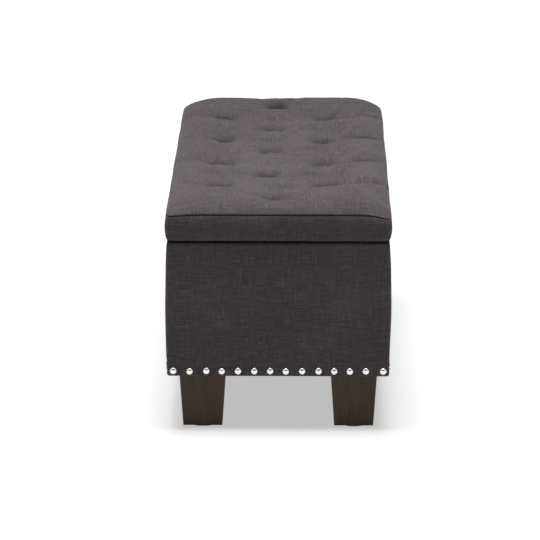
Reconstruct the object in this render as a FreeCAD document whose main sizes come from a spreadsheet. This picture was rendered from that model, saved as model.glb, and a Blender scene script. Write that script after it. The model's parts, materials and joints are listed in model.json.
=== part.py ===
"""Upholstered storage bench: a padded box on four tapered block legs, with a button-tufted lid
that lifts on three butt hinges and is steadied by a folding stay at each end.

Frame: X along the bench, the opening side at -Y, Z up, the origin on the floor under the middle.
All sizes are millimetres. Driving sizes live in the Dims sheet; everything else follows them.
"""
import FreeCAD, Part
import math
import os
import Sketcher

App = FreeCAD
doc = App.newDocument("storage_bench")

# ---------------------------------------------------------------- driving sizes
DIMENSIONS = [
    # overall
    ("bench_length", 1070, "fabric face to fabric face, along X"),
    ("bench_depth", 428, "fabric face to fabric face, along Y"),
    ("hem_height", 110.5, "floor to the lower edge of the box"),
    ("rim_height", 375, "floor to the top of the box rim"),
    ("lid_gap", 3, "rim to the underside of the lid"),
    ("boxing_height", 52, "side band of the lid, up to its seam"),
    ("crown", 19, "rise of the tufted top above the seam"),
    # upholstery
    ("cover", 1.2, "upholstery fabric"),
    ("padding", 7, "foam on the sides of the box"),
    ("box_corner", 8, "radius of the box's upright corners, at the fabric"),
    ("rim_roll", 6, "rounding of the rim"),
    ("lid_corner", 12, "radius of the lid's corners and upper edge"),
    ("lid_roll", 5, "rounding of the lid's lower edge"),
    ("rim_lip", 30, "fabric turned down inside the rim"),
    ("lid_turn", 21.8, "fabric turned in under the lid, past the inside of the side panels"),
    ("lining", 1, "inner lining"),
    ("dust_sheet", 0.8, "dust cover under the box"),
    # woodwork
    ("panel", 12, "side panels"),
    ("floor_board", 9, "bottom of the storage space"),
    ("lid_board", 12, "board inside the lid"),
    ("block_side", 112, "corner blocks that carry the legs"),
    ("block_height", 18, "corner blocks and battens"),
    ("block_recess", 10, "underside of the blocks above the hem"),
    ("batten_width", 20, "battens between the corner blocks"),
    # legs
    ("leg_top", 91, "side of the square leg at its top"),
    ("leg_foot", 76, "side of the square leg at its foot"),
    ("leg_margin", 1.8, "side panel to the top of the leg"),
    ("leg_edge", 2.5, "rounding of the leg's long edges"),
    ("glide_height", 4, "plastic glide under the leg"),
    ("glide_diameter", 62, "plastic glide"),
    ("glide_pin", 3, "nail of the glide"),
    ("glide_pin_length", 14, "nail of the glide, above its disc"),
    ("bolt_diameter", 8, "hanger bolt"),
    ("bolt_depth", 50, "bolt inside the leg"),
    ("bolt_fit", 0.08, "radial clearance round the bolt"),
    ("nut_flange", 22, "tee nut"),
    ("nut_flange_height", 1.5, "tee nut"),
    ("nut_barrel", 10.5, "tee nut"),
    ("nut_barrel_height", 9, "tee nut"),
    # decorative nails
    ("nail_head", 12.8, "diameter of the domed head"),
    ("nail_rise", 3, "height of the domed head"),
    ("nail_shank", 1.8, "diameter"),
    ("nail_length", 12, "shank below the head"),
    ("nail_lift", 10.5, "nail line above the hem"),
    ("nail_margin", 13, "first nail from the corner"),
    ("nails_across", 14, "on each end"),
    ("nails_along", 35, "on each long side"),
    # tufting
    ("tuft_pitch", 220, "between the buttons of one row"),
    ("tuft_row", 106, "from the middle row to each outer row"),
    ("tuft_shift", -16, "middle row from the middle of the lid"),
    ("middle_buttons", 5, "in the middle row"),
    ("tuft_mouth", 34, "radius of a tuft at the crown"),
    ("tuft_seat", 12.5, "radius of a tuft at its button"),
    ("tuft_depth", 30, "crown to the button's seat"),
    ("button_diameter", 22, "covered button"),
    ("button_height", 6, "covered button"),
    ("twine", 2, "tufting twine"),
    ("twine_hole", 6, "hole for the twine in foam and board"),
    ("washer_diameter", 18, "anchor washer under the board"),
    ("washer_height", 2, "anchor washer"),
    # rest buffers
    ("bumper_diameter", 10, "rubber buffer under the lid"),
    ("bumper_air", 0.3, "buffer to the rim, with the lid down"),
    ("bumper_inset", 45, "end of the lid to the middle of a buffer"),
    # hinges
    ("hinge_pitch", 360, "between hinges"),
    ("hinge_length", 64, "along X"),
    ("hinge_setback", 2.5, "pin inside the back fabric face"),
    ("leaf", 1.2, "leaf thickness"),
    ("leaf_width", 18, "pin to the free edge of a leaf"),
    ("knuckle", 5.2, "outer diameter"),
    ("hinge_pin", 2.6, "diameter"),
    ("hinge_fit", 0.05, "radial clearance round the pin"),
    ("knuckle_gap", 0.3, "between knuckles, and round them"),
    ("hinge_screw", 3, "diameter"),
    ("screw_head", 6, "diameter of a countersunk head"),
    ("screw_spacing", 22, "between the screws of a leaf"),
    ("box_screw_length", 20, "into the back panel"),
    ("lid_screw_length", 11, "into the lid board"),
    # folding stays
    ("stay_back", 58, "box pivot in front of the hinge pin"),
    ("stay_drop", 92, "box pivot below the hinge pin"),
    ("stay_reach", 140, "lid pivot in front of the hinge pin"),
    ("stay_hang", 13, "lid pivot below the hinge pin"),
    ("strap", 2, "thickness of the stay's steel strap"),
    ("strap_width", 16, "stay arms"),
    ("strap_gap", 0.4, "between neighbouring straps"),
    ("rivet", 5, "diameter of the pivots"),
    ("rivet_fit", 0.05, "radial clearance round the pivots"),
    ("rivet_head", 9, "diameter"),
    ("rivet_head_height", 1.2, "thickness"),
    ("rivet_play", 0.1, "between a turning arm and the rivet head next to it"),
    ("plate_width", 26, "box plate of the stay"),
    ("plate_height", 58, "box plate of the stay"),
    ("plate_rise", 13, "box plate above its pivot"),
    ("plate_screws", 18, "pivot to first screw, and on to the second"),
    ("flange_width", 24, "lid flange of the stay"),
    ("flange_length", 52, "lid flange of the stay"),
    ("flange_screws", 34, "between the flange's screws"),
    ("stay_screw", 3.5, "diameter"),
    ("stay_screw_head", 7, "diameter"),
    ("stay_screw_head_height", 1.2, "thickness"),
    ("stay_screw_length", 12, "below the head"),
]

sheet = doc.addObject("Spreadsheet::Sheet", "Dims")
for row, (alias, number, meaning) in enumerate(DIMENSIONS, start=1):
    sheet.set(f"A{row}", str(number))
    sheet.setAlias(f"A{row}", alias)
    sheet.set(f"B{row}", meaning)
doc.recompute()


def size(alias):
    """The number in a cell, for the few shapes and starting points that code works out."""
    return float(getattr(sheet, alias))


def ex(text):
    """An expression on the sheet: every $name becomes Dims.name."""
    return text.replace("$", "Dims.")


# levels and faces that several pieces share, as expressions
LID_UNDER = "($rim_height + $lid_gap)"
SEAM = f"({LID_UNDER} + $boxing_height)"
TOP = f"({SEAM} + $crown)"
BLOCK_UNDER = "($hem_height + $block_recess)"
BOARD_UNDER = f"({BLOCK_UNDER} + $block_height)"
BOARD_TOP = f"({BOARD_UNDER} + $floor_board)"
PANEL_OUT_X = "($bench_length / 2 - $cover - $padding)"
PANEL_OUT_Y = "($bench_depth / 2 - $cover - $padding)"
PANEL_IN_X = f"({PANEL_OUT_X} - $panel)"
PANEL_IN_Y = f"({PANEL_OUT_Y} - $panel)"
PANEL_LOW = "($hem_height + $cover)"
PANEL_HIGH = "($rim_height - $cover)"
FOAM_UNDER = f"({LID_UNDER} + $cover + $lid_board)"
PIN_Y = "($bench_depth / 2 - $hinge_setback)"
PIN_Z = "($rim_height + $lid_gap / 2)"
SEAT_Z = f"({TOP} - $tuft_depth)"
EPS = "0.5"  # how far a cutter runs past the face it opens

nodes = []


def keep(obj, label):
    """Marks an object as a sub-part: its Label names its STEP file."""
    obj.Label = label
    nodes.append(obj)
    return obj


def place(obj, x="0", y="0", z="0"):
    for axis, text in zip("xyz", (x, y, z)):
        obj.setExpression(f"Placement.Base.{axis}", ex(text))
    return obj


def box(name, length, width, height, x, y, z):
    obj = doc.addObject("Part::Box", name)
    obj.setExpression("Length", ex(length))
    obj.setExpression("Width", ex(width))
    obj.setExpression("Height", ex(height))
    return place(obj, x, y, z)


def centred_box(name, length, width, height, x, y, z):
    """A box whose middle is at x, y and whose underside is at z."""
    return box(name, length, width, height, f"({x}) - ({length}) / 2", f"({y}) - ({width}) / 2", z)


TURN = {"Z": App.Rotation(), "X": App.Rotation(App.Vector(0, 1, 0), 90)}


def cylinder(name, radius, height, x, y, z, along="Z"):
    obj = doc.addObject("Part::Cylinder", name)
    obj.setExpression("Radius", ex(radius))
    obj.setExpression("Height", ex(height))
    obj.Placement = App.Placement(App.Vector(), TURN[along])
    return place(obj, x, y, z)


def cone(name, low_radius, high_radius, height, x, y, z):
    obj = doc.addObject("Part::Cone", name)
    obj.setExpression("Radius1", ex(low_radius))
    obj.setExpression("Radius2", ex(high_radius))
    obj.setExpression("Height", ex(height))
    return place(obj, x, y, z)


def fuse(name, parts):
    if len(parts) == 1:
        return parts[0]
    obj = doc.addObject("Part::MultiFuse", name)
    obj.Shapes = parts
    obj.Refine = True
    return obj


def cut(name, base, tools):
    obj = doc.addObject("Part::Cut", name)
    obj.Base = base
    obj.Tool = fuse(name + "_tools", tools)
    obj.Refine = True
    return obj


def common(name, first, second):
    obj = doc.addObject("Part::MultiCommon", name)
    obj.Shapes = [first, second]
    return obj


# ---------------------------------------------------------------- PartDesign helpers
def new_body(name):
    return doc.addObject("PartDesign::Body", name)


def new_sketch(body, name, role="XY_Plane", lift=None):
    plane = next(f for f in body.Origin.OriginFeatures if f.Role == role)
    sketch = body.newObject("Sketcher::SketchObject", name)
    sketch.AttachmentSupport = (plane, [""])
    sketch.MapMode = "FlatFace"
    if lift:
        sketch.setExpression("AttachmentOffset.Base.z", ex(lift))
    return sketch


def draw_rectangle(sketch, width, depth):
    """A rectangle centred on the sketch's origin."""
    x, y = 50, 30
    corners = [App.Vector(-x, -y), App.Vector(x, -y), App.Vector(x, y), App.Vector(-x, y)]
    for i in range(4):
        sketch.addGeometry(Part.LineSegment(corners[i], corners[(i + 1) % 4]))
    for i in range(4):
        sketch.addConstraint(Sketcher.Constraint("Coincident", i, 2, (i + 1) % 4, 1))
        sketch.addConstraint(Sketcher.Constraint("Horizontal" if i % 2 == 0 else "Vertical", i))
    sketch.addConstraint(Sketcher.Constraint("Symmetric", 0, 1, 1, 2, -1, 1))
    for name, line, kind, text in (("width", 0, "DistanceX", width), ("depth", 1, "DistanceY", depth)):
        index = sketch.addConstraint(Sketcher.Constraint(kind, line, 1, line, 2, 2 * (x if line == 0 else y)))
        sketch.renameConstraint(index, name)
        sketch.setExpression(f"Constraints.{name}", ex(text))


def draw_rounded_square(sketch, side, radius):
    """A square with rounded corners, centred on the sketch's origin."""
    half, bend = 40, 4
    inner = half - bend
    normal = App.Vector(0, 0, 1)
    ways = [(1, 0), (0, 1), (-1, 0), (0, -1)]  # where each side faces
    for i, (fx, fy) in enumerate(ways):
        first = App.Vector(fx * half + fy * inner, fy * half - fx * inner)
        last = App.Vector(fx * half - fy * inner, fy * half + fx * inner)
        sketch.addGeometry(Part.LineSegment(first, last))
        corner = App.Vector((fx - fy) * inner, (fy + fx) * inner)
        start = math.atan2(fy, fx)
        sketch.addGeometry(Part.ArcOfCircle(Part.Circle(corner, normal, bend), start, start + math.pi / 2))
    for i in range(4):
        line, arc, after = 2 * i, 2 * i + 1, (2 * i + 2) % 8
        sketch.addConstraint(Sketcher.Constraint("Tangent", line, 2, arc, 1))
        sketch.addConstraint(Sketcher.Constraint("Tangent", arc, 2, after, 1))
        sketch.addConstraint(Sketcher.Constraint("Vertical" if i % 2 == 0 else "Horizontal", line))
        if i:
            sketch.addConstraint(Sketcher.Constraint("Equal", 1, arc))
    sketch.addConstraint(Sketcher.Constraint("Symmetric", 1, 3, 5, 3, -1, 1))
    for name, constraint, text in (
        ("half", Sketcher.Constraint("DistanceX", -1, 1, 0, 1, half), f"{side} / 2"),
        ("high", Sketcher.Constraint("DistanceY", -1, 1, 2, 1, half), f"{side} / 2"),
        ("bend", Sketcher.Constraint("Radius", 1, bend), radius),
    ):
        sketch.renameConstraint(sketch.addConstraint(constraint), name)
        sketch.setExpression(f"Constraints.{name}", ex(text))


def pad(body, sketch, height):
    feature = body.newObject("PartDesign::Pad", sketch.Name + "_pad")
    feature.Profile = sketch
    feature.setExpression("Length", ex(height))
    sketch.Visibility = False
    return feature


def round_edges(body, feature, radius, wanted):
    """Fillets the edges of a feature that wanted(edge, box of the shape) picks."""
    doc.recompute()
    limits = feature.Shape.BoundBox
    names = [f"Edge{i}" for i, e in enumerate(feature.Shape.Edges, 1) if wanted(e, limits)]
    fillet = body.newObject("PartDesign::Fillet", body.Name + "_round")
    fillet.Base = (feature, names)
    fillet.setExpression("Radius", ex(radius))
    return fillet


def upright(edge, limits):
    return edge.BoundBox.ZLength > 0.9 * limits.ZLength


def at_top(edge, limits):
    return edge.BoundBox.ZMin > limits.ZMax - 0.01


def at_bottom(edge, limits):
    return edge.BoundBox.ZMax < limits.ZMin + 0.01


def upright_or_top(edge, limits):
    return upright(edge, limits) or at_top(edge, limits)


def rounded_block(name, length, depth, height, z):
    """A body with one centred rectangular pad, ready for its edges to be rounded."""
    body = new_body(name)
    sketch = new_sketch(body, name + "_outline")
    draw_rectangle(sketch, length, depth)
    feature = pad(body, sketch, height)
    place(body, z=z)
    return body, feature


# ---------------------------------------------------------------- box: woodwork
SIDES = {"front": (0, -1), "back": (0, 1), "left": (-1, 0), "right": (1, 0)}
PANEL_HEIGHT = f"({PANEL_HIGH} - {PANEL_LOW})"

for side, (sx, sy) in SIDES.items():
    if sy:
        panel = centred_box(f"{side}_panel", f"2 * {PANEL_OUT_X}", "$panel", PANEL_HEIGHT,
                            "0", f"{sy} * ({PANEL_OUT_Y} - $panel / 2)", PANEL_LOW)
    else:
        panel = centred_box(f"{side}_panel", "$panel", f"2 * {PANEL_IN_Y}", PANEL_HEIGHT,
                            f"{sx} * ({PANEL_OUT_X} - $panel / 2)", "0", PANEL_LOW)
    keep(panel, f"{side}_panel")

keep(centred_box("floor_board_box", f"2 * {PANEL_IN_X}", f"2 * {PANEL_IN_Y}", "$floor_board",
                 "0", "0", BOARD_UNDER), "floor_board")

# legs stand at the same places as their blocks, bolts and nuts
CORNERS = {"front_left": (-1, -1), "front_right": (1, -1), "back_left": (-1, 1), "back_right": (1, 1)}
LEG_X = f"({PANEL_IN_X} - $leg_margin - $leg_top / 2)"
LEG_Y = f"({PANEL_IN_Y} - $leg_margin - $leg_top / 2)"
BLOCK_X = f"({PANEL_IN_X} - $block_side / 2)"
BLOCK_Y = f"({PANEL_IN_Y} - $block_side / 2)"
NUT_TOP = BOARD_UNDER


def corner_group(label, make):
    """One node holding four solids, one at each corner; make(name, sx, sy) gives each."""
    group = doc.addObject("Part::Compound", label + "_group")
    group.Links = [make(f"{label}_{corner}", sx, sy) for corner, (sx, sy) in CORNERS.items()]
    return keep(group, label)


def corner_block(name, sx, sy):
    x, y = f"{sx} * {LEG_X}", f"{sy} * {LEG_Y}"
    block = centred_box(name + "_wood", "$block_side", "$block_side", "$block_height",
                        f"{sx} * {BLOCK_X}", f"{sy} * {BLOCK_Y}", BLOCK_UNDER)
    bore = cylinder(name + "_bore", "$nut_barrel / 2 + $bolt_fit", f"$block_height + 2 * {EPS}",
                    x, y, f"{BLOCK_UNDER} - {EPS}")
    seat = cylinder(name + "_seat", "$nut_flange / 2 + $bolt_fit", f"$nut_flange_height + {EPS}",
                    x, y, f"{NUT_TOP} - $nut_flange_height")
    return cut(name, block, [bore, seat])


def tee_nut(name, sx, sy):
    x, y = f"{sx} * {LEG_X}", f"{sy} * {LEG_Y}"
    flange = cylinder(name + "_flange", "$nut_flange / 2", "$nut_flange_height",
                      x, y, f"{NUT_TOP} - $nut_flange_height")
    barrel = cylinder(name + "_barrel", "$nut_barrel / 2", "$nut_barrel_height",
                      x, y, f"{NUT_TOP} - $nut_barrel_height")
    bore = cylinder(name + "_thread", "$bolt_diameter / 2 + $bolt_fit", f"$nut_barrel_height + 2 * {EPS}",
                    x, y, f"{NUT_TOP} - $nut_barrel_height - {EPS}")
    return cut(name, fuse(name + "_body", [flange, barrel]), [bore])


def hanger_bolt(name, sx, sy):
    return cylinder(name, "$bolt_diameter / 2", "$bolt_depth + $block_height - $nut_flange_height",
                    f"{sx} * {LEG_X}", f"{sy} * {LEG_Y}", f"{BLOCK_UNDER} - $bolt_depth")


corner_group("corner_blocks", corner_block)
corner_group("tee_nuts", tee_nut)
corner_group("hanger_bolts", hanger_bolt)

# battens run between the corner blocks, against the long panels
battens = doc.addObject("Part::Compound", "floor_battens_group")
battens.Links = [
    centred_box(f"batten_{side}", f"2 * ({PANEL_IN_X} - $block_side)", "$batten_width", "$block_height",
                "0", f"{sy} * ({PANEL_IN_Y} - $batten_width / 2)", BLOCK_UNDER)
    for side, sy in (("front", -1), ("back", 1))
]
keep(battens, "floor_battens")


# ---------------------------------------------------------------- box: padding, cover and linings
def box_outline(name, skin):
    """The padded box's outer form, set in from the fabric face by skin."""
    body, feature = rounded_block(name, f"$bench_length - 2 * {skin}", f"$bench_depth - 2 * {skin}",
                                  f"$rim_height - $hem_height - 2 * {skin}", f"$hem_height + {skin}")
    feature = round_edges(body, feature, f"$box_corner - {skin}", upright)
    round_edges(body, feature, f"$rim_roll - {skin}", at_top)
    return body


box_form = box_outline("box_form", "0")
padding_form = box_outline("padding_form", "$cover")
panel_space = centred_box("panel_space", f"2 * {PANEL_OUT_X}", f"2 * {PANEL_OUT_Y}",
                          f"{PANEL_HEIGHT} + 2 * {EPS}", "0", "0", f"{PANEL_LOW} - {EPS}")
padding_ring = cut("padding_ring", padding_form, [panel_space])

for side, (sx, sy) in SIDES.items():
    if sy:
        zone = centred_box(f"padding_zone_{side}", "$bench_length", "$padding + $cover", "$rim_height",
                           "0", f"{sy} * ({PANEL_OUT_Y} + ($padding + $cover) / 2)", "0")
    else:
        zone = centred_box(f"padding_zone_{side}", "$padding + $cover", f"2 * {PANEL_OUT_Y}", "$rim_height",
                           f"{sx} * ({PANEL_OUT_X} + ($padding + $cover) / 2)", "0", "0")
    keep(common(f"padding_{side}_part", padding_ring, zone), f"padding_{side}")

LIP_X = f"({PANEL_IN_X} - $cover)"
LIP_Y = f"({PANEL_IN_Y} - $cover)"
LIP_LOW = f"({PANEL_HIGH} - $rim_lip)"
skin_shell = cut("skin_shell", box_form, [padding_form])
rim_band = centred_box("rim_band", f"2 * {PANEL_IN_X}", f"2 * {PANEL_IN_Y}", "$rim_lip",
                       "0", "0", LIP_LOW)
mouth = centred_box("box_mouth", f"2 * {LIP_X}", f"2 * {LIP_Y}", f"$rim_height - $hem_height + 2 * {EPS}",
                    "0", "0", f"$hem_height - {EPS}")


def hinge_places():
    """Each hinge's name and the X of its middle, as an expression."""
    return [("left", "-$hinge_pitch"), ("centre", "0"), ("right", "$hinge_pitch")]


def knuckle_reliefs(name):
    """Round grooves where the fabric gives way to the hinge knuckles."""
    return [
        cylinder(f"{name}_{place_name}", "$knuckle / 2 + $knuckle_gap", "$hinge_length + 2 * $knuckle_gap",
                 f"{x} - $hinge_length / 2 - $knuckle_gap", PIN_Y, PIN_Z, along="X")
        for place_name, x in hinge_places()
    ]


keep(cut("box_cover_cut", fuse("box_cover_skin", [skin_shell, rim_band]),
         [mouth, *knuckle_reliefs("rim_relief")]), "box_cover")

lining_block = centred_box("lining_block", f"2 * {PANEL_IN_X}", f"2 * {PANEL_IN_Y}",
                           f"{LIP_LOW} - {BOARD_TOP}", "0", "0", BOARD_TOP)
lining_space = centred_box("lining_space", f"2 * ({PANEL_IN_X} - $lining)", f"2 * ({PANEL_IN_Y} - $lining)",
                           f"{LIP_LOW} - {BOARD_TOP}", "0", "0", f"{BOARD_TOP} + $lining")
keep(cut("inner_lining_cut", lining_block, [lining_space]), "inner_lining")

dust_plate = centred_box("dust_plate", f"2 * {PANEL_IN_X}", f"2 * {PANEL_IN_Y}", "$dust_sheet",
                         "0", "0", f"{BLOCK_UNDER} - $dust_sheet")
dust_openings = [
    centred_box(f"dust_opening_{corner}", "$leg_top + $bolt_fit * 2", "$leg_top + $bolt_fit * 2",
                f"$dust_sheet + 2 * {EPS}", f"{sx} * {LEG_X}", f"{sy} * {LEG_Y}",
                f"{BLOCK_UNDER} - $dust_sheet - {EPS}")
    for corner, (sx, sy) in CORNERS.items()
]
keep(cut("dust_cover_cut", dust_plate, dust_openings), "dust_cover")


# ---------------------------------------------------------------- legs and glides
def make_leg(corner, sx, sy):
    """A square block leg, tapered on all four sides and bored for its bolt and its glide."""
    label = f"leg_{corner}"
    body = new_body(label + "_body")
    foot = new_sketch(body, label + "_foot")
    draw_rounded_square(foot, "$leg_foot", "$leg_edge")
    head = new_sketch(body, label + "_head", lift=f"{BLOCK_UNDER} - $glide_height")
    draw_rounded_square(head, "$leg_top", "$leg_edge")
    loft = body.newObject("PartDesign::AdditiveLoft", label + "_taper")
    loft.Profile = foot
    loft.Sections = [head]
    loft.Ruled = True
    for name, lift, radius, depth, down in (
        ("bolt_bore", f"{BLOCK_UNDER} - $glide_height", "$bolt_diameter / 2 + $bolt_fit", "$bolt_depth", True),
        ("glide_bore", "0", "$glide_pin / 2 + $bolt_fit", "$glide_pin_length + $bolt_fit", False),
    ):
        circle = new_sketch(body, f"{label}_{name}", lift=lift)
        circle.addGeometry(Part.Circle(App.Vector(), App.Vector(0, 0, 1), size("bolt_diameter") / 2))
        circle.addConstraint(Sketcher.Constraint("Coincident", 0, 3, -1, 1))
        circle.renameConstraint(circle.addConstraint(Sketcher.Constraint("Radius", 0, 4)), "radius")
        circle.setExpression("Constraints.radius", ex(radius))
        bore = body.newObject("PartDesign::Pocket", f"{label}_{name}_pocket")
        bore.Profile = circle
        bore.setExpression("Length", ex(depth))
        bore.Reversed = not down
    place(body, f"{sx} * {LEG_X}", f"{sy} * {LEG_Y}", "$glide_height")
    return keep(body, label)


def glide(name, sx, sy):
    x, y = f"{sx} * {LEG_X}", f"{sy} * {LEG_Y}"
    rim = cone(name + "_rim", "$glide_diameter / 2 - $glide_height / 4", "$glide_diameter / 2",
               "$glide_height / 4", x, y, "0")
    disc = cylinder(name + "_disc", "$glide_diameter / 2", "$glide_height * 3 / 4", x, y, "$glide_height / 4")
    nail = cylinder(name + "_nail", "$glide_pin / 2", "$glide_pin_length + $glide_height / 2",
                    x, y, "$glide_height / 2")
    return fuse(name, [rim, disc, nail])


for corner, (sx, sy) in CORNERS.items():
    make_leg(corner, sx, sy)
corner_group("leg_glides", glide)


# ---------------------------------------------------------------- decorative nails
def nail_shape():
    """One nail, pointing into -Z with the rim of its head at the origin."""
    radius, rise = size("nail_head") / 2, size("nail_rise")
    shank, reach = size("nail_shank") / 2, size("nail_length")
    tip = 2 * shank
    rim, top = App.Vector(radius, 0, 0), App.Vector(0, 0, rise)
    ball = (radius * radius + rise * rise) / (2 * rise)
    half = math.asin(radius / ball) / 2
    middle = App.Vector(ball * math.sin(half), 0, rise - ball * (1 - math.cos(half)))
    outline = [
        Part.Arc(rim, middle, top).toShape(),
        Part.makeLine(top, App.Vector(0, 0, -reach)),
        Part.makeLine(App.Vector(0, 0, -reach), App.Vector(shank, 0, tip - reach)),
        Part.makeLine(App.Vector(shank, 0, tip - reach), App.Vector(shank, 0, 0)),
        Part.makeLine(App.Vector(shank, 0, 0), rim),
    ]
    face = Part.Face(Part.Wire(outline))
    return face.revolve(App.Vector(), App.Vector(0, 0, 1), 360)


def spread(count, room):
    """count places evenly spaced over room, about zero."""
    return [room * (i / (count - 1) - 0.5) for i in range(int(count))]


nail = nail_shape()
nail_z = size("hem_height") + size("nail_lift")
for side, (sx, sy) in SIDES.items():
    run = size("bench_length") if sy else size("bench_depth")
    count = size("nails_along") if sy else size("nails_across")
    turned = App.Rotation(App.Vector(0, 0, 1), App.Vector(sx, sy, 0))
    copies = []
    for along in spread(count, run - 2 * size("nail_margin")):
        point = App.Vector(along if sy else sx * size("bench_length") / 2,
                           sy * size("bench_depth") / 2 if sy else along, nail_z)
        copy = nail.copy()
        copy.Placement = App.Placement(point, turned)
        copies.append(copy)
    group = doc.addObject("Part::Feature", f"nails_{side}_group")
    group.Shape = Part.Compound(copies)
    keep(group, f"nails_{side}")


# ---------------------------------------------------------------- lid
def lid_outline(name, skin):
    """The lid's outer form, set in from the fabric face by skin."""
    body, feature = rounded_block(name, f"$bench_length - 2 * {skin}", f"$bench_depth - 2 * {skin}",
                                  f"{TOP} - {LID_UNDER} - 2 * {skin}", f"{LID_UNDER} + {skin}")
    feature = round_edges(body, feature, f"$lid_corner - {skin}", upright_or_top)
    round_edges(body, feature, f"$lid_roll - {skin}", at_bottom)
    return body


def slab(name, low, high):
    return centred_box(name, "$bench_length + 2", "$bench_depth + 2", f"{high} - {low}", "0", "0", low)


def tuft_places():
    """X and Y of every button: a middle row, and an outer row each side that is set between them."""
    count = int(size("middle_buttons"))
    middle = [(f"({i} - {(count - 1) / 2}) * $tuft_pitch", "$tuft_shift") for i in range(count)]
    outer = [(f"({i} - {(count - 2) / 2}) * $tuft_pitch", f"$tuft_shift + {side} * $tuft_row")
             for side in (-1, 1) for i in range(count - 1)]
    return middle + outer


lid_form = lid_outline("lid_form", "0")
lid_core = lid_outline("lid_core", "$cover")
ANCHOR_UNDER = f"({LID_UNDER} + $cover)"
TUFT_SLOPE = "(($tuft_mouth - $tuft_seat) / $tuft_depth)"
tufts = list(enumerate(tuft_places(), start=1))

twine_bores = [cylinder(f"twine_bore_{i}", "$twine_hole / 2", f"{TOP} - {LID_UNDER}", x, y, LID_UNDER)
               for i, (x, y) in tufts]
washer_seats = [cylinder(f"washer_seat_{i}", "$washer_diameter / 2 + $bolt_fit", f"$washer_height + {EPS}",
                         x, y, f"{ANCHOR_UNDER} - {EPS}") for i, (x, y) in tufts]
board_slab = common("board_slab", lid_core, slab("board_zone", ANCHOR_UNDER, FOAM_UNDER))
keep(cut("lid_board_cut", board_slab, twine_bores + washer_seats), "lid_board")

# each tuft is a cone through the foam, lined by the top fabric
tuft_walls = [cone(f"tuft_wall_{i}", "$tuft_seat + $cover", f"$tuft_mouth + $cover * (1 + {TUFT_SLOPE})",
                   "$tuft_depth + $cover", x, y, f"{SEAT_Z} - $cover") for i, (x, y) in tufts]
tuft_hollows = [cone(f"tuft_hollow_{i}", "$tuft_seat", f"$tuft_mouth + {EPS} * {TUFT_SLOPE}",
                     f"$tuft_depth + {EPS}", x, y, SEAT_Z) for i, (x, y) in tufts]
fabric_holes = [cylinder(f"fabric_hole_{i}", "$twine / 2 + $bolt_fit", f"$cover + 2 * {EPS}",
                         x, y, f"{SEAT_Z} - $cover - {EPS}") for i, (x, y) in tufts]
foam_slab = common("foam_slab", lid_core, slab("foam_zone", FOAM_UNDER, TOP))
keep(cut("lid_foam_cut", foam_slab, tuft_walls + twine_bores), "lid_foam")

top_skin = common("top_skin", cut("lid_skin", lid_form, [lid_core]), slab("top_zone", SEAM, f"({TOP} + 1)"))
tuft_cups = common("tuft_cups", fuse("tuft_cup_walls", tuft_walls), slab("cup_zone", LID_UNDER, TOP))
keep(cut("lid_top_cover_cut", fuse("top_skin_and_cups", [top_skin, tuft_cups]), tuft_hollows + fabric_holes),
     "lid_top_cover")

boxing_skin = common("boxing_skin", cut("lid_skin_low", lid_form, [lid_core]), slab("boxing_zone", "0", SEAM))
LINING_LENGTH = f"2 * ({PANEL_IN_X} - $lid_turn)"
LINING_DEPTH = f"2 * ({PANEL_IN_Y} - $lid_turn)"
lining_window = centred_box("lining_window", LINING_LENGTH, LINING_DEPTH, f"$cover + 2 * {EPS}",
                            "0", "0", f"{LID_UNDER} - {EPS}")
keep(cut("lid_boxing_cut", boxing_skin, [lining_window, *knuckle_reliefs("boxing_relief")]), "lid_boxing")
keep(centred_box("lid_lining_sheet", LINING_LENGTH, LINING_DEPTH, "$cover", "0", "0", LID_UNDER), "lid_lining")


def tuft_group(label, make):
    group = doc.addObject("Part::Compound", label + "_group")
    group.Links = [make(f"{label}_{i}", x, y) for i, (x, y) in tufts]
    return keep(group, label)


def covered_button(name, x, y):
    """A flat-backed disc with a coned crown."""
    base = cylinder(name + "_base", "$button_diameter / 2", "$button_height / 3", x, y, SEAT_Z)
    crown = cone(name + "_crown", "$button_diameter / 2", "$button_diameter / 4", "$button_height * 2 / 3",
                 x, y, f"{SEAT_Z} + $button_height / 3")
    bore = cylinder(name + "_eye", "$twine / 2", f"$button_height / 3 + {EPS}", x, y, f"{SEAT_Z} - {EPS}")
    return cut(name, fuse(name + "_body", [base, crown]), [bore])


def twine_cord(name, x, y):
    return cylinder(name, "$twine / 2", f"{SEAT_Z} + $button_height / 3 - {ANCHOR_UNDER}", x, y, ANCHOR_UNDER)


def anchor_washer(name, x, y):
    disc = cylinder(name + "_disc", "$washer_diameter / 2", "$washer_height", x, y, ANCHOR_UNDER)
    eye = cylinder(name + "_eye", "$twine / 2", f"$washer_height + 2 * {EPS}", x, y, f"{ANCHOR_UNDER} - {EPS}")
    return cut(name, disc, [eye])


tuft_group("tuft_buttons", covered_button)
tuft_group("tuft_twine", twine_cord)
tuft_group("tuft_washers", anchor_washer)


# rubber buffers that the front of the lid rests on
buffers = doc.addObject("Part::Compound", "lid_bumpers_group")
buffers.Links = [
    cylinder(f"lid_bumper_{side}", "$bumper_diameter / 2", "$lid_gap - $bumper_air",
             f"{sx} * ($bench_length / 2 - $bumper_inset)", f"-({PANEL_IN_Y} + $panel / 2)",
             "$rim_height + $bumper_air")
    for side, sx in (("left", -1), ("right", 1))
]
keep(buffers, "lid_bumpers")


# ---------------------------------------------------------------- hinges
KNUCKLES = 5
KNUCKLE_STEP = f"($hinge_length / {KNUCKLES})"
SCREW_Y = f"({PANEL_IN_Y} + $panel / 2)"
SCREW_OFFSETS = ("-$screw_spacing", "0", "$screw_spacing")
CLEAR = "$hinge_fit"
leaf_under = {"box": "$rim_height", "lid": f"({LID_UNDER} - $leaf)"}


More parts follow.
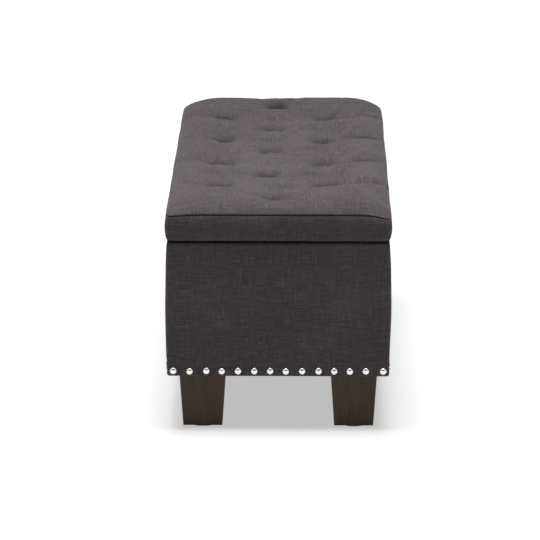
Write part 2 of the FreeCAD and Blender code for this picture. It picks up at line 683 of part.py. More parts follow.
def hinge_leaf(hinge, owner, x):
    """A leaf with every second knuckle, opened for the pin, the other knuckles and the screws."""
    name = f"hinge_{hinge}_{owner}_leaf"
    own = [i for i in range(KNUCKLES) if (i % 2 == 0) == (owner == "box")]
    start = f"({x} - $hinge_length / 2)"
    plate = box(name + "_plate", "$hinge_length", "$leaf_width", "$leaf", start,
                f"{PIN_Y} - $leaf_width", leaf_under[owner])
    solids, tools = [plate], []
    for i in range(KNUCKLES):
        if i in own:
            solids.append(cylinder(f"{name}_knuckle_{i}", "$knuckle / 2", f"{KNUCKLE_STEP} - $knuckle_gap",
                                   f"{start} + {i} * {KNUCKLE_STEP} + $knuckle_gap / 2", PIN_Y, PIN_Z, "X"))
        else:
            tools.append(cylinder(f"{name}_gap_{i}", "$knuckle / 2 + $knuckle_gap", KNUCKLE_STEP,
                                  f"{start} + {i} * {KNUCKLE_STEP}", PIN_Y, PIN_Z, "X"))
    tools.append(cylinder(name + "_bore", f"$hinge_pin / 2 + {CLEAR}", f"$hinge_length + 2 * {EPS}",
                          f"{start} - {EPS}", PIN_Y, PIN_Z, "X"))
    wide, narrow = f"$screw_head / 2 + {CLEAR}", f"$hinge_screw / 2 + {CLEAR}"
    low, high = (narrow, wide) if owner == "box" else (wide, narrow)
    for i, offset in enumerate(SCREW_OFFSETS):
        tools.append(cone(f"{name}_sink_{i}", low, high, "$leaf", f"{x} + {offset}", SCREW_Y, leaf_under[owner]))
    return keep(cut(name + "_cut", fuse(name + "_body", solids), tools), name)


def hinge_screw(name, x, owner):
    """A countersunk screw, flush with its leaf, driven away from the other leaf."""
    low = leaf_under[owner]
    if owner == "box":
        head = cone(name + "_head", "$hinge_screw / 2", "$screw_head / 2", "$leaf", x, SCREW_Y, low)
        stem = cylinder(name + "_stem", "$hinge_screw / 2", "$box_screw_length", x, SCREW_Y,
                        f"{low} - $box_screw_length")
    else:
        head = cone(name + "_head", "$screw_head / 2", "$hinge_screw / 2", "$leaf", x, SCREW_Y, low)
        stem = cylinder(name + "_stem", "$hinge_screw / 2", "$lid_screw_length", x, SCREW_Y, f"{low} + $leaf")
    return fuse(name, [head, stem])


for hinge, x in hinge_places():
    hinge_leaf(hinge, "box", x)
    hinge_leaf(hinge, "lid", x)
    keep(cylinder(f"hinge_{hinge}_pin_rod", "$hinge_pin / 2", "$hinge_length", f"{x} - $hinge_length / 2",
                  PIN_Y, PIN_Z, "X"), f"hinge_{hinge}_pin")

for owner in ("box", "lid"):
    group = doc.addObject("Part::Compound", f"hinge_{owner}_screws_group")
    group.Links = [hinge_screw(f"hinge_{owner}_screw_{hinge}_{i}", f"{x} + {offset}", owner)
                   for hinge, x in hinge_places() for i, offset in enumerate(SCREW_OFFSETS)]
    keep(group, f"hinge_{owner}_screws")

# ---------------------------------------------------------------- folding stays
# Box pivot, elbow and lid pivot make a parallelogram with the hinge pin, so the lower arm stays
# parallel to the line from the pin to the lid pivot, and the upper arm keeps its direction.
BOX_PIVOT_Y = f"({PIN_Y} - $stay_back)"
BOX_PIVOT_Z = f"({PIN_Z} - $stay_drop)"
LID_PIVOT_Y = f"({PIN_Y} - $stay_reach)"
LID_PIVOT_Z = f"({PIN_Z} - $stay_hang)"
ELBOW_Y = f"({PIN_Y} - $stay_back - $stay_reach)"
ELBOW_Z = f"({PIN_Z} - $stay_drop - $stay_hang)"
WALL_X = f"({PANEL_IN_X} - $lining)"
# how far inside the lining each layer's outer face lies
PLATE_IN = "0"
LOWER_IN = "($strap + $strap_gap)"
UPPER_IN = "(2 * ($strap + $strap_gap))"
HOLE = "($rivet / 2 + $rivet_fit)"


def layer_x(sx, inside, thickness):
    """Low X of a layer that lies inside from the end wall and is this thick."""
    return f"{WALL_X} - {inside} - {thickness}" if sx > 0 else f"{inside} - {WALL_X}"


def draw_strap(sketch, along, up):
    """A round-ended strap outline from the origin to (along, up), with a hole at each end."""
    dy, dz = along[0] * size(along[1]), up[0] * size(up[1])
    radius, hole = size("strap_width") / 2, size("rivet") / 2 + size("rivet_fit")
    angle = math.atan2(dz, dy)
    first, last = App.Vector(), App.Vector(dy, dz)
    side = App.Vector(-math.sin(angle), math.cos(angle)) * radius
    normal = App.Vector(0, 0, 1)
    sketch.addGeometry(Part.ArcOfCircle(Part.Circle(first, normal, radius), angle + math.pi / 2,
                                        angle + 3 * math.pi / 2))
    sketch.addGeometry(Part.LineSegment(first - side, last - side))
    sketch.addGeometry(Part.ArcOfCircle(Part.Circle(last, normal, radius), angle - math.pi / 2,
                                        angle + math.pi / 2))
    sketch.addGeometry(Part.LineSegment(last + side, first + side))
    for centre in (first, last):
        sketch.addGeometry(Part.Circle(centre, normal, hole))
    for pair in ((0, 2, 1, 1), (1, 2, 2, 1), (2, 2, 3, 1), (3, 2, 0, 1)):
        sketch.addConstraint(Sketcher.Constraint("Tangent", *pair))
    sketch.addConstraint(Sketcher.Constraint("Equal", 0, 2))
    sketch.addConstraint(Sketcher.Constraint("Equal", 4, 5))
    sketch.addConstraint(Sketcher.Constraint("Coincident", 0, 3, -1, 1))
    sketch.addConstraint(Sketcher.Constraint("Coincident", 4, 3, 0, 3))
    sketch.addConstraint(Sketcher.Constraint("Coincident", 5, 3, 2, 3))
    for name, constraint, text in (
        ("along", Sketcher.Constraint("DistanceX", -1, 1, 2, 3, dy), f"{along[0]} * ${along[1]}"),
        ("up", Sketcher.Constraint("DistanceY", -1, 1, 2, 3, dz), f"{up[0]} * ${up[1]}"),
        ("edge", Sketcher.Constraint("Radius", 0, radius), "$strap_width / 2"),
        ("hole", Sketcher.Constraint("Radius", 4, hole), HOLE),
    ):
        sketch.renameConstraint(sketch.addConstraint(constraint), name)
        sketch.setExpression(f"Constraints.{name}", ex(text))


def stay_arm(label, sx, inside, along, up, pivot_y, pivot_z):
    body = new_body(label + "_body")
    sketch = new_sketch(body, label + "_outline", role="YZ_Plane")
    draw_strap(sketch, along, up)
    pad(body, sketch, "$strap")
    place(body, layer_x(sx, inside, "$strap"), pivot_y, pivot_z)
    return keep(body, label)


def rivet_solid(name, sx, inside, grip, y, z, heads):
    """A pin along X, grip long from inside the wall; heads names its headed ends."""
    parts = [cylinder(name + "_pin", "$rivet / 2", grip, layer_x(sx, inside, grip), y, z, "X")]
    for end in heads:
        start = f"({inside} + {grip})" if end == "inner" else f"({inside} - $rivet_head_height)"
        parts.append(cylinder(f"{name}_{end}_head", "$rivet_head / 2", "$rivet_head_height",
                              layer_x(sx, start, "$rivet_head_height"), y, z, "X"))
    return fuse(name, parts)


def screw_along_x(name, sx, y, z):
    """A pan-head screw driven outwards through the box plate into the end panel."""
    head = cylinder(name + "_head", "$stay_screw_head / 2", "$stay_screw_head_height",
                    layer_x(sx, "$strap", "$stay_screw_head_height"), y, z, "X")
    stem = cylinder(name + "_stem", "$stay_screw / 2", "$stay_screw_length",
                    layer_x(sx, "($strap - $stay_screw_length)", "$stay_screw_length"), y, z, "X")
    return fuse(name, [head, stem])


def screw_up(name, x, y):
    """A pan-head screw driven up through the lid flange into the lid board."""
    under = f"({LID_UNDER} - $strap)"
    head = cylinder(name + "_head", "$stay_screw_head / 2", "$stay_screw_head_height", x, y,
                    f"{under} - $stay_screw_head_height")
    stem = cylinder(name + "_stem", "$stay_screw / 2", "$stay_screw_length", x, y, under)
    return fuse(name, [head, stem])


base_rivets, lid_rivets, base_screws, lid_screws = [], [], [], []
PAIR = "(2 * $strap + $strap_gap + $rivet_play)"

for end, sx in (("left", -1), ("right", 1)):
    # plate on the end wall
    name = f"stay_{end}_box_plate"
    plate = box(name + "_strap", "$strap", "$plate_width", "$plate_height", layer_x(sx, PLATE_IN, "$strap"),
                f"{BOX_PIVOT_Y} - $plate_width / 2", f"{BOX_PIVOT_Z} + $plate_rise - $plate_height")
    holes = [cylinder(name + "_pivot", "$rivet / 2", f"$strap + 2 * {EPS}",
                      layer_x(sx, f"(-{EPS})", f"($strap + 2 * {EPS})"), BOX_PIVOT_Y, BOX_PIVOT_Z, "X")]
    for i in (1, 2):
        z = f"{BOX_PIVOT_Z} - {i} * $plate_screws"
        holes.append(cylinder(f"{name}_hole_{i}", "$stay_screw / 2 + $rivet_fit", f"$strap + 2 * {EPS}",
                              layer_x(sx, f"(-{EPS})", f"($strap + 2 * {EPS})"), BOX_PIVOT_Y, z, "X"))
        base_screws.append(screw_along_x(f"stay_box_screw_{end}_{i}", sx, BOX_PIVOT_Y, z))
    keep(cut(name + "_cut", plate, holes), name)
    base_rivets.append(rivet_solid(f"stay_box_rivet_{end}", sx, PLATE_IN, PAIR, BOX_PIVOT_Y, BOX_PIVOT_Z,
                                   ["inner"]))

    # arms and their elbow
    stay_arm(f"stay_{end}_lower_arm", sx, LOWER_IN, (-1, "stay_reach"), (-1, "stay_hang"),
             BOX_PIVOT_Y, BOX_PIVOT_Z)
    stay_arm(f"stay_{end}_upper_arm", sx, UPPER_IN, (-1, "stay_back"), (-1, "stay_drop"),
             LID_PIVOT_Y, LID_PIVOT_Z)
    keep(rivet_solid(f"stay_elbow_{end}", sx, f"({LOWER_IN} - $rivet_play)", f"({PAIR} + $rivet_play)",
                     ELBOW_Y, ELBOW_Z, ["inner", "outer"]), f"stay_{end}_elbow_rivet")

    # bracket under the lid
    name = f"stay_{end}_lid_bracket"
    tab_x = layer_x(sx, LOWER_IN, "$strap")
    tab = box(name + "_tab", "$strap", "$strap_width", f"{LID_UNDER} - {LID_PIVOT_Z}", tab_x,
              f"{LID_PIVOT_Y} - $strap_width / 2", LID_PIVOT_Z)
    nose = cylinder(name + "_nose", "$strap_width / 2", "$strap", tab_x, LID_PIVOT_Y, LID_PIVOT_Z, "X")
    flange_x = layer_x(sx, LOWER_IN, "$flange_width")
    flange = box(name + "_flange", "$flange_width", "$flange_length", "$strap", flange_x,
                 f"{LID_PIVOT_Y} - $flange_length / 2", f"{LID_UNDER} - $strap")
    screw_x = f"{sx} * ({WALL_X} - {LOWER_IN} - $flange_width * 0.6)"
    holes = [cylinder(name + "_pivot", "$rivet / 2", f"$strap + 2 * {EPS}",
                      f"{tab_x} - {EPS}", LID_PIVOT_Y, LID_PIVOT_Z, "X")]
    for i, step in ((1, -1), (2, 1)):
        y = f"{LID_PIVOT_Y} + {step} * $flange_screws / 2"
        holes.append(cylinder(f"{name}_hole_{i}", "$stay_screw / 2 + $rivet_fit", f"$strap + 2 * {EPS}",
                              screw_x, y, f"{LID_UNDER} - $strap - {EPS}"))
        lid_screws.append(screw_up(f"stay_lid_screw_{end}_{i}", screw_x, y))
    keep(cut(name + "_cut", fuse(name + "_body", [tab, nose, flange]), holes), name)
    lid_rivets.append(rivet_solid(f"stay_lid_rivet_{end}", sx, LOWER_IN, PAIR, LID_PIVOT_Y, LID_PIVOT_Z,
                                  ["inner", "outer"]))

for label, members in (("stay_box_rivets", base_rivets), ("stay_lid_rivets", lid_rivets),
                       ("stay_box_screws", base_screws), ("stay_lid_screws", lid_screws)):
    group = doc.addObject("Part::Compound", label + "_group")
    group.Links = members
    keep(group, label)

# ---------------------------------------------------------------- check and write
doc.recompute()
for obj in doc.Objects:
    if "Invalid" in obj.State or "Error" in obj.State:
        raise RuntimeError(f"{obj.Name} did not build: {obj.State}")

os.makedirs("parts", exist_ok=True)
for obj in nodes:
    shape = obj.Shape
    if shape.isNull() or not shape.isValid() or not shape.Solids:
        raise RuntimeError(f"{obj.Label} has no valid solid")
    shape.exportStep(os.path.join("parts", obj.Label + ".step"))
print(f"{len(nodes)} sub-parts written")
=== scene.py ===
import json
import math
import random

import bpy
import numpy as np
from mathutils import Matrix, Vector

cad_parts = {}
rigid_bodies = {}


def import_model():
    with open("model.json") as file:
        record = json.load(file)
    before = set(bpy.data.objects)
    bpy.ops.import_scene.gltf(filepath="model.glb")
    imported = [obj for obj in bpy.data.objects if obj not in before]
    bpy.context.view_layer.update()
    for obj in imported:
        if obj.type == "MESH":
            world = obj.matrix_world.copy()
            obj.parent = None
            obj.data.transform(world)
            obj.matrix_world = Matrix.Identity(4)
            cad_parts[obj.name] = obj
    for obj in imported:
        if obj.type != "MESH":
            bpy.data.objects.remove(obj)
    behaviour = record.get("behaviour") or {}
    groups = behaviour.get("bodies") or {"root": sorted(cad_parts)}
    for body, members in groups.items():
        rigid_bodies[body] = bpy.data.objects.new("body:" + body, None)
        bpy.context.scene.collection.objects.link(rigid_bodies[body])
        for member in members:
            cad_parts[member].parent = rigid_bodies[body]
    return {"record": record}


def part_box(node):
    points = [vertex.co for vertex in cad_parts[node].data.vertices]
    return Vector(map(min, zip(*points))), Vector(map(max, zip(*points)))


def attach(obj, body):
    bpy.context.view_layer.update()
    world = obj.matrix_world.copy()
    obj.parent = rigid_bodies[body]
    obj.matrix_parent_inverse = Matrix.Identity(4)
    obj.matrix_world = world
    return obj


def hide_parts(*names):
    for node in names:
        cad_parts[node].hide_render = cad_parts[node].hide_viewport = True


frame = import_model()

scene = bpy.context.scene
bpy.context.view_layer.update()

# a long lens at eye height, a little to the side of the bench's own line; angles in degrees
view = {"place": (7.3485, 0.0597, 2.021), "down": 14.0, "aside": 0.6331, "lens": 244.6, "sensor": 36}
down, aside = math.radians(view["down"]), math.radians(view["aside"])
forward = Vector((-math.cos(aside) * math.cos(down), -math.sin(aside) * math.cos(down), -math.sin(down)))
cameraData = bpy.data.cameras.new("camera")
cameraData.sensor_width = view["sensor"]
cameraData.lens = view["lens"]
cameraData.clip_end = 60
camera = bpy.data.objects.new("camera", cameraData)
camera.rotation_mode = "QUATERNION"
camera.location = view["place"]
camera.rotation_quaternion = forward.to_track_quat("-Z", "Y")
scene.collection.objects.link(camera)
scene.camera = camera
scene.view_settings.view_transform = "Standard"
print("camera done")


def tone(hexCode):
    # sRGB hex to linear RGBA
    channels = [int(hexCode[i:i + 2], 16) / 255 for i in (1, 3, 5)]
    return (*[c / 12.92 if c <= 0.04045 else ((c + 0.055) / 1.055) ** 2.4 for c in channels], 1)


def addNode(tree, kind, sockets=(), **settings):
    # sockets pairs a name or index with a value, or with the output that feeds it
    node = tree.nodes.new(kind)
    for key, value in settings.items():
        setattr(node, key, value)
    for key, value in sockets:
        if isinstance(value, bpy.types.NodeSocket):
            tree.links.new(value, node.inputs[key])
        else:
            node.inputs[key].default_value = value
    return node


def newMaterial(name, finish):
    # finish holds what is the same all over the surface, by the shader's socket
    material = bpy.data.materials.new(name)
    material.use_nodes = True
    tree = material.node_tree
    tree.nodes.clear()
    shader = addNode(tree, "ShaderNodeBsdfPrincipled", finish.items())
    addNode(tree, "ShaderNodeOutputMaterial", [("Surface", shader.outputs[0])])
    return material, tree, shader


def perMetre(*millimetres):
    # the scale of a pattern whose features are this large
    return [1000 / size for size in millimetres]


def linenLook():
    # plain-woven polyester from slubby yarn: matt, its grey broken up both ways, with a soft sheen; painted
    # shade darkens it towards near-black in its hollows and tufts
    linen = {
        "shade": tone("#423b3d"), "light": tone("#645d5e"), "bright": tone("#8b8484"),
        # the near-black of the painted shade in the cover's hollows and tufts
        "hollowShade": tone("#131112"),
        "slub": (38.5, 2.38), "streak": (26.3, 3.03), "mottle": 111,  # millimetres
        "yarn": 1.382,  # millimetres; real yarn is about half that, which would not show
    }
    material, tree, shader = newMaterial("woven_linen_look_polyester", {
        "Roughness": 0.92, "Sheen Weight": 0.25, "Sheen Roughness": 0.55, "Sheen Tint": tone("#c9c4c6"),
        "Specular IOR Level": 0.12})
    uv = addNode(tree, "ShaderNodeTexCoord").outputs["UV"]
    grains = []
    for long, thick, detail, roughness in ((*linen["slub"], 3.0, 0.6), (*linen["streak"], 2.0, 0.5)):
        for size in ((long, thick), (thick, long)):
            place = addNode(tree, "ShaderNodeMapping", [("Vector", uv), ("Scale", (*perMetre(*size), 1))])
            noise = addNode(tree, "ShaderNodeTexNoise", [
                ("Vector", place.outputs[0]), ("Scale", 1.0), ("Detail", detail), ("Roughness", roughness)])
            grains.append(noise.outputs[0])
    weft, warp, streakWeft, streakWarp = grains
    mottle = addNode(tree, "ShaderNodeTexNoise", [
        ("Vector", uv), ("Scale", perMetre(linen["mottle"])[0]), ("Detail", 2.0)]).outputs[0]
    slubs = addNode(tree, "ShaderNodeMix", [(0, 0.45), (2, weft), (3, warp)]).outputs[0]
    depth = addNode(tree, "ShaderNodeMix", [(0, 0.2), (2, slubs), (3, mottle)]).outputs[0]
    grade = addNode(tree, "ShaderNodeMapRange", [
        ("Value", depth), ("From Min", 0.36), ("From Max", 0.64)]).outputs[0]
    colour = addNode(tree, "ShaderNodeMix", [(0, grade), (6, linen["shade"]), (7, linen["light"])],
                     data_type="RGBA").outputs[2]
    thickest = addNode(tree, "ShaderNodeMath", [(0, streakWeft), (1, streakWarp)],
                       operation="MAXIMUM").outputs[0]
    streaks = addNode(tree, "ShaderNodeMapRange", [
        ("Value", thickest), ("From Min", 0.62), ("From Max", 0.76), ("To Max", 0.55)]).outputs[0]
    colour = addNode(tree, "ShaderNodeMix", [(0, streaks), (6, colour), (7, linen["bright"])],
                     data_type="RGBA").outputs[2]
    # painted shade: the point attribute set on the tufted pad mixes the colour towards near-black in its
    # hollows and tufts
    paintedShade = addNode(tree, "ShaderNodeAttribute", attribute_name="paintedShade").outputs["Fac"]
    colour = addNode(tree, "ShaderNodeMix", [(0, paintedShade), (6, colour), (7, linen["hollowShade"])],
                     data_type="RGBA").outputs[2]
    tree.links.new(colour, shader.inputs["Base Color"])
    yarnScale = perMetre(linen["yarn"])[0] * math.tau / 20  # a wave texture has 20 / tau bands to a unit
    place = addNode(tree, "ShaderNodeMapping", [("Vector", uv), ("Scale", (yarnScale, yarnScale, 1))])
    yarns = [addNode(tree, "ShaderNodeTexWave", [
        ("Vector", place.outputs[0]), ("Scale", 1.0), ("Distortion", 2.5), ("Detail", 2.0)],
        bands_direction=way).outputs[0] for way in "XY"]
    weave = addNode(tree, "ShaderNodeMath", [(0, yarns[0]), (1, yarns[1])], operation="MULTIPLY").outputs[0]
    height = addNode(tree, "ShaderNodeMath", [(0, weave), (1, 0.22), (2, slubs)],
                     operation="MULTIPLY_ADD").outputs[0]
    bump = addNode(tree, "ShaderNodeBump", [("Strength", 0.6), ("Distance", 0.0007), ("Height", height)])
    tree.links.new(bump.outputs[0], shader.inputs["Normal"])
    return material


def bondedCloth(name, dark, light, spots):
    # spun-bonded or twisted thread: dull and flat, faintly mottled, with a fine grid of spots
    material, tree, shader = newMaterial(name, {"Roughness": 0.95})
    spot = addNode(tree, "ShaderNodeTexCoord").outputs["Object"]
    mottle = addNode(tree, "ShaderNodeTexNoise", [
        ("Vector", spot), ("Scale", perMetre(16.7)[0]), ("Detail", 4.0)]).outputs[0]
    grade = addNode(tree, "ShaderNodeMapRange", [
        ("Value", mottle), ("From Min", 0.3), ("From Max", 0.7)]).outputs[0]
    colour = addNode(tree, "ShaderNodeMix", [(0, grade), (6, tone(dark)), (7, tone(light))],
                     data_type="RGBA").outputs[2]
    tree.links.new(colour, shader.inputs["Base Color"])
    cells = addNode(tree, "ShaderNodeTexVoronoi", [("Vector", spot), ("Scale", perMetre(spots)[0])])
    bump = addNode(tree, "ShaderNodeBump", [
        ("Strength", 0.35), ("Distance", 0.0004), ("Height", cells.outputs["Distance"])])
    tree.links.new(bump.outputs[0], shader.inputs["Normal"])
    return material


def stainedWood(name, dark, light, grain, finish):
    # straight, fine grain with broader clouds of colour in it; grain is its size along X, Y and Z
    material, tree, shader = newMaterial(name, {"Coat Roughness": 0.3, "Specular IOR Level": 0.25, **finish})
    spot = addNode(tree, "ShaderNodeTexCoord").outputs["Object"]
    fine = addNode(tree, "ShaderNodeMapping", [("Vector", spot), ("Scale", perMetre(*grain))])
    fibre = addNode(tree, "ShaderNodeTexNoise", [
        ("Vector", fine.outputs[0]), ("Scale", 1.0), ("Detail", 5.0), ("Roughness", 0.65),
        ("Distortion", 0.6)]).outputs[0]
    clouds = perMetre(*[6 * size for size in grain])
    broad = addNode(tree, "ShaderNodeMapping", [("Vector", spot), ("Scale", clouds)])
    cloud = addNode(tree, "ShaderNodeTexNoise", [
        ("Vector", broad.outputs[0]), ("Scale", 1.0), ("Detail", 2.0)]).outputs[0]
    depth = addNode(tree, "ShaderNodeMix", [(0, 0.4), (2, fibre), (3, cloud)]).outputs[0]
    grade = addNode(tree, "ShaderNodeMapRange", [
        ("Value", depth), ("From Min", 0.35), ("From Max", 0.65)]).outputs[0]
    colour = addNode(tree, "ShaderNodeMix", [(0, grade), (6, tone(dark)), (7, tone(light))],
                     data_type="RGBA").outputs[2]
    tree.links.new(colour, shader.inputs["Base Color"])
    bump = addNode(tree, "ShaderNodeBump", [("Strength", 0.25), ("Distance", 0.0003), ("Height", fibre)])
    tree.links.new(bump.outputs[0], shader.inputs["Normal"])
    return material


def platedMetal(name, colour, rough, grain, relief):
    # a bright metal whose gloss varies a little, with polishing or rolling marks of the grain's size
    material, tree, shader = newMaterial(name, {"Base Color": tone(colour), "Metallic": 1.0})
    spot = addNode(tree, "ShaderNodeTexCoord").outputs["Object"]
    place = addNode(tree, "ShaderNodeMapping", [("Vector", spot), ("Scale", perMetre(*grain))])
    marks = addNode(tree, "ShaderNodeTexNoise", [
        ("Vector", place.outputs[0]), ("Scale", 1.0), ("Detail", 3.0)]).outputs[0]
    gloss = addNode(tree, "ShaderNodeMapRange", [
        ("Value", marks), ("To Min", rough * 0.75), ("To Max", rough * 1.35)]).outputs[0]
    tree.links.new(gloss, shader.inputs["Roughness"])
    bump = addNode(tree, "ShaderNodeBump", [("Strength", relief), ("Distance", 0.0002), ("Height", marks)])
    tree.links.new(bump.outputs[0], shader.inputs["Normal"])
    return material


def mouldedBlack(name, colour, rough):
    # black from a mould with a fine spark-eroded grit, so that it shows no clear reflection
    material, tree, shader = newMaterial(name, {"Roughness": rough})
    spot = addNode(tree, "ShaderNodeTexCoord").outputs["Object"]
    grit = addNode(tree, "ShaderNodeTexNoise", [
        ("Vector", spot), ("Scale", perMetre(1.11)[0]), ("Detail", 2.0)]).outputs[0]
    bump = addNode(tree, "ShaderNodeBump", [("Strength", 0.3), ("Distance", 0.0002), ("Height", grit)])
    tree.links.new(bump.outputs[0], shader.inputs["Normal"])
    grade = addNode(tree, "ShaderNodeMapRange", [
        ("Value", grit), ("From Min", 0.2), ("From Max", 0.8)]).outputs[0]
    colours = addNode(tree, "ShaderNodeMix", [(0, grade), (6, tone(colour)), (7, tone("#1c1c1e"))],
                      data_type="RGBA").outputs[2]
    tree.links.new(colours, shader.inputs["Base Color"])
    return material


# sizes of spots and grain are in millimetres
fabric = linenLook()
liningCloth = bondedCloth("black_nonwoven_polypropylene", "#0d0d0f", "#17171a", 2)
waxedTwine = bondedCloth("waxed_twine", "#857a60", "#a3977a", 0.8)
espresso = stainedWood("espresso_stained_rubberwood", "#382b22", "#584636", (6.67, 6.67, 111),
                       {"Coat Weight": 0.08, "Roughness": 0.5})  # a thin film of satin lacquer
plywood = stainedWood("raw_poplar_plywood", "#8d6c48", "#b08a60", (167, 8.33, 8.33),
                      {"Coat Weight": 0.0, "Roughness": 0.7})
nickel = platedMetal("polished_nickel", "#eae7e2", 0.09, (3.33, 3.33, 3.33), 0.05)
zinc = platedMetal("zinc_plated_steel", "#a9abad", 0.3, (16.7, 1.11, 1.11), 0.1)
glidePlastic = mouldedBlack("black_polypropylene", "#0b0b0c", 0.5)
rubber = mouldedBlack("black_rubber", "#101010", 0.8)
slotMaterials = {
    "upholstery": fabric, "lining_cloth": liningCloth, "foam": liningCloth, "twine": waxedTwine,
    "panel_wood": plywood, "leg_wood": espresso, "nail_metal": nickel, "steel": zinc,
    "glide_plastic": glidePlastic, "bumper_rubber": rubber,
}
for entry in frame["record"]["subparts"]:
    node = bpy.data.objects[entry["node"]]
    node.data.materials.clear()
    node.data.materials.append(slotMaterials[entry["material_slot"]])
print("materials done")


def buildMesh(name, points, faces, uvs, material):
    # uvs holds one pair per face corner
    mesh = bpy.data.meshes.new(name)
    mesh.from_pydata([tuple(p) for p in points], [], [tuple(int(i) for i in f) for f in faces])
    layer = mesh.uv_layers.new(name="UVMap")
    layer.data.foreach_set("uv", np.asarray(uvs, dtype=np.float32).ravel())
    mesh.polygons.foreach_set("use_smooth", [True] * len(mesh.polygons))
    mesh.materials.append(material)
    mesh.validate()
    mesh.update()
    piece = bpy.data.objects.new(name, mesh)
    scene.collection.objects.link(piece)
    return piece


def gridLine(half, step):
    # stations from edge to edge, closer together near both edges
    near = [0, 0.0015, 0.003, 0.005, 0.008, 0.012, 0.017, 0.023]
    inner = half - 0.029
    count = round(2 * inner / step)
    middle = [-inner + 2 * inner * i / count for i in range(count + 1)]
    return np.array([-half + d for d in near] + middle + [half - d for d in reversed(near)])


def roundCorners(x, y, halfX, halfY, radius):
    # draws the points beyond a corner's centre in to its arc
    over = np.maximum(np.abs(x) - halfX + radius, 0), np.maximum(np.abs(y) - halfY + radius, 0)
    both = (over[0] > 0) & (over[1] > 0)
    scale = np.where(both, np.maximum(*over) / np.maximum(np.hypot(*over), 1e-9), 1)
    return (np.where(both, np.sign(x) * (halfX - radius + over[0] * scale), x),
            np.where(both, np.sign(y) * (halfY - radius + over[1] * scale), y))


def gridQuads(nx, ny):
    # the faces of a grid whose points are numbered along Y first
    i, j = np.meshgrid(np.arange(nx - 1), np.arange(ny - 1), indexing="ij")
    first = (i * ny + j).ravel()
    return np.stack([first, first + ny, first + ny + 1, first + 1], axis=1)


class Outline:
    # a grid over the rounded rectangle, and its border as a loop of places, outward directions and lengths
    def __init__(self, halfX, halfY, radius, step):
        self.halfX, self.halfY = halfX, halfY
        lineX, lineY = gridLine(halfX, step), gridLine(halfY, step)
        nx, ny = self.nx, self.ny = len(lineX), len(lineY)
        gridX, gridY = np.meshgrid(lineX, lineY, indexing="ij")
        self.x, self.y = [g.ravel() for g in roundCorners(gridX, gridY, halfX, halfY, radius)]
        loop = [i * ny for i in range(nx)] + [(nx - 1) * ny + j for j in range(1, ny)]
        loop += [i * ny + ny - 1 for i in range(nx - 2, -1, -1)] + [j for j in range(ny - 2, 0, -1)]
        self.loop = np.array(loop)
        self.bx, self.by = self.x[self.loop], self.y[self.loop]
        outX = np.sign(self.bx) * np.maximum(np.abs(self.bx) - halfX + radius, 0)
        outY = np.sign(self.by) * np.maximum(np.abs(self.by) - halfY + radius, 0)
        outX = np.where(np.abs(outY) >= radius - 1e-6, 0, outX)
        outY = np.where(np.abs(outX) >= radius - 1e-6, 0, outY)
        size = np.maximum(np.hypot(outX, outY), 1e-9)
        self.dx, self.dy = outX / size, outY / size
        steps = np.hypot(np.roll(self.bx, -1) - self.bx, np.roll(self.by, -1) - self.by)
        self.s = np.concatenate([[0], np.cumsum(steps)[:-1]])
        self.around = steps.sum()
        self.quads = gridQuads(nx, ny)

    def squeezed(self, place, half, depth):
        # draws the outer 50 mm of one axis in by depth, so that corners keep their shape and never cross
        zone = 0.05
        past = np.maximum(np.abs(place) - half + zone, 0)
        return np.sign(place) * (np.abs(place) - past * depth / zone)

    def ring(self, offset, z):
        # the border at height z, moved outwards by offset, or inwards where it is negative
        z = np.broadcast_to(z, self.bx.shape)
        out, depth = np.maximum(offset, 0), np.maximum(-np.asarray(offset), 0)
        x, y = self.squeezed(self.bx, self.halfX, depth), self.squeezed(self.by, self.halfY, depth)
        return np.stack([x + self.dx * out, y + self.dy * out, z], axis=1)

    def between(self, first, second, high, low):
        # the band of faces from ring first down to ring second, with its uvs
        count = len(first)
        after = np.roll(np.arange(count), -1)
        ends = np.where(after == 0, self.around, self.s[after])
        faces = np.stack([first, second, second[after], first[after]], axis=1)
        corners = ((self.s, high), (self.s, low), (ends, low), (ends, high))
        return faces, np.stack([np.stack([u, np.full(count, v)], 1) for u, v in corners], axis=1)


def padMesh(name, shape, top, rings, bottomZ, material):
    # a closed pad: the top grid, rings down its side as (offset, z), and the bottom grid within the last ring
    points, faces = [top], [shape.quads]
    uvs = [np.stack([shape.x, shape.y], axis=1)[shape.quads]]
    last, level, start = shape.loop, 0.0, len(shape.x)
    previous = top[shape.loop]
    for offset, z in rings:
        ring = shape.ring(offset, z)
        index = np.arange(start, start + len(ring))
        drop = level - float(np.mean(np.linalg.norm(ring - previous, axis=1)))
        bandFaces, bandUvs = shape.between(last, index, level, drop)
        faces.append(bandFaces)
        uvs.append(bandUvs)
        points.append(ring)
        last, level, previous, start = index, drop, ring, start + len(ring)
    onEdge = np.zeros(len(shape.x), dtype=bool)
    onEdge[shape.loop] = True
    inside = np.where(~onEdge)[0]
    numbers = np.full(len(shape.x), -1)
    numbers[shape.loop] = last
    numbers[inside] = np.arange(start, start + len(inside))
    points.append(np.stack([shape.x, shape.y, bottomZ], axis=1)[inside])
    faces.append(numbers[shape.quads][:, ::-1])
    uvs.append(uvs[0][:, ::-1])
    return buildMesh(name, np.concatenate(points), np.concatenate(faces), np.concatenate(uvs), material)


def ripple(x, y, length, seed, count=7):
    # a smooth unevenness of about -1 to 1, with waves about this long
    dice = random.Random(seed)
    total = 0
    for _ in range(count):
        angle, reach = dice.uniform(0, math.tau), length * dice.uniform(0.7, 1.8)
        along = x * math.cos(angle) + y * math.sin(angle)
        total = total + np.sin(along * math.tau / reach + dice.uniform(0, math.tau))
    return total / count * 1.6


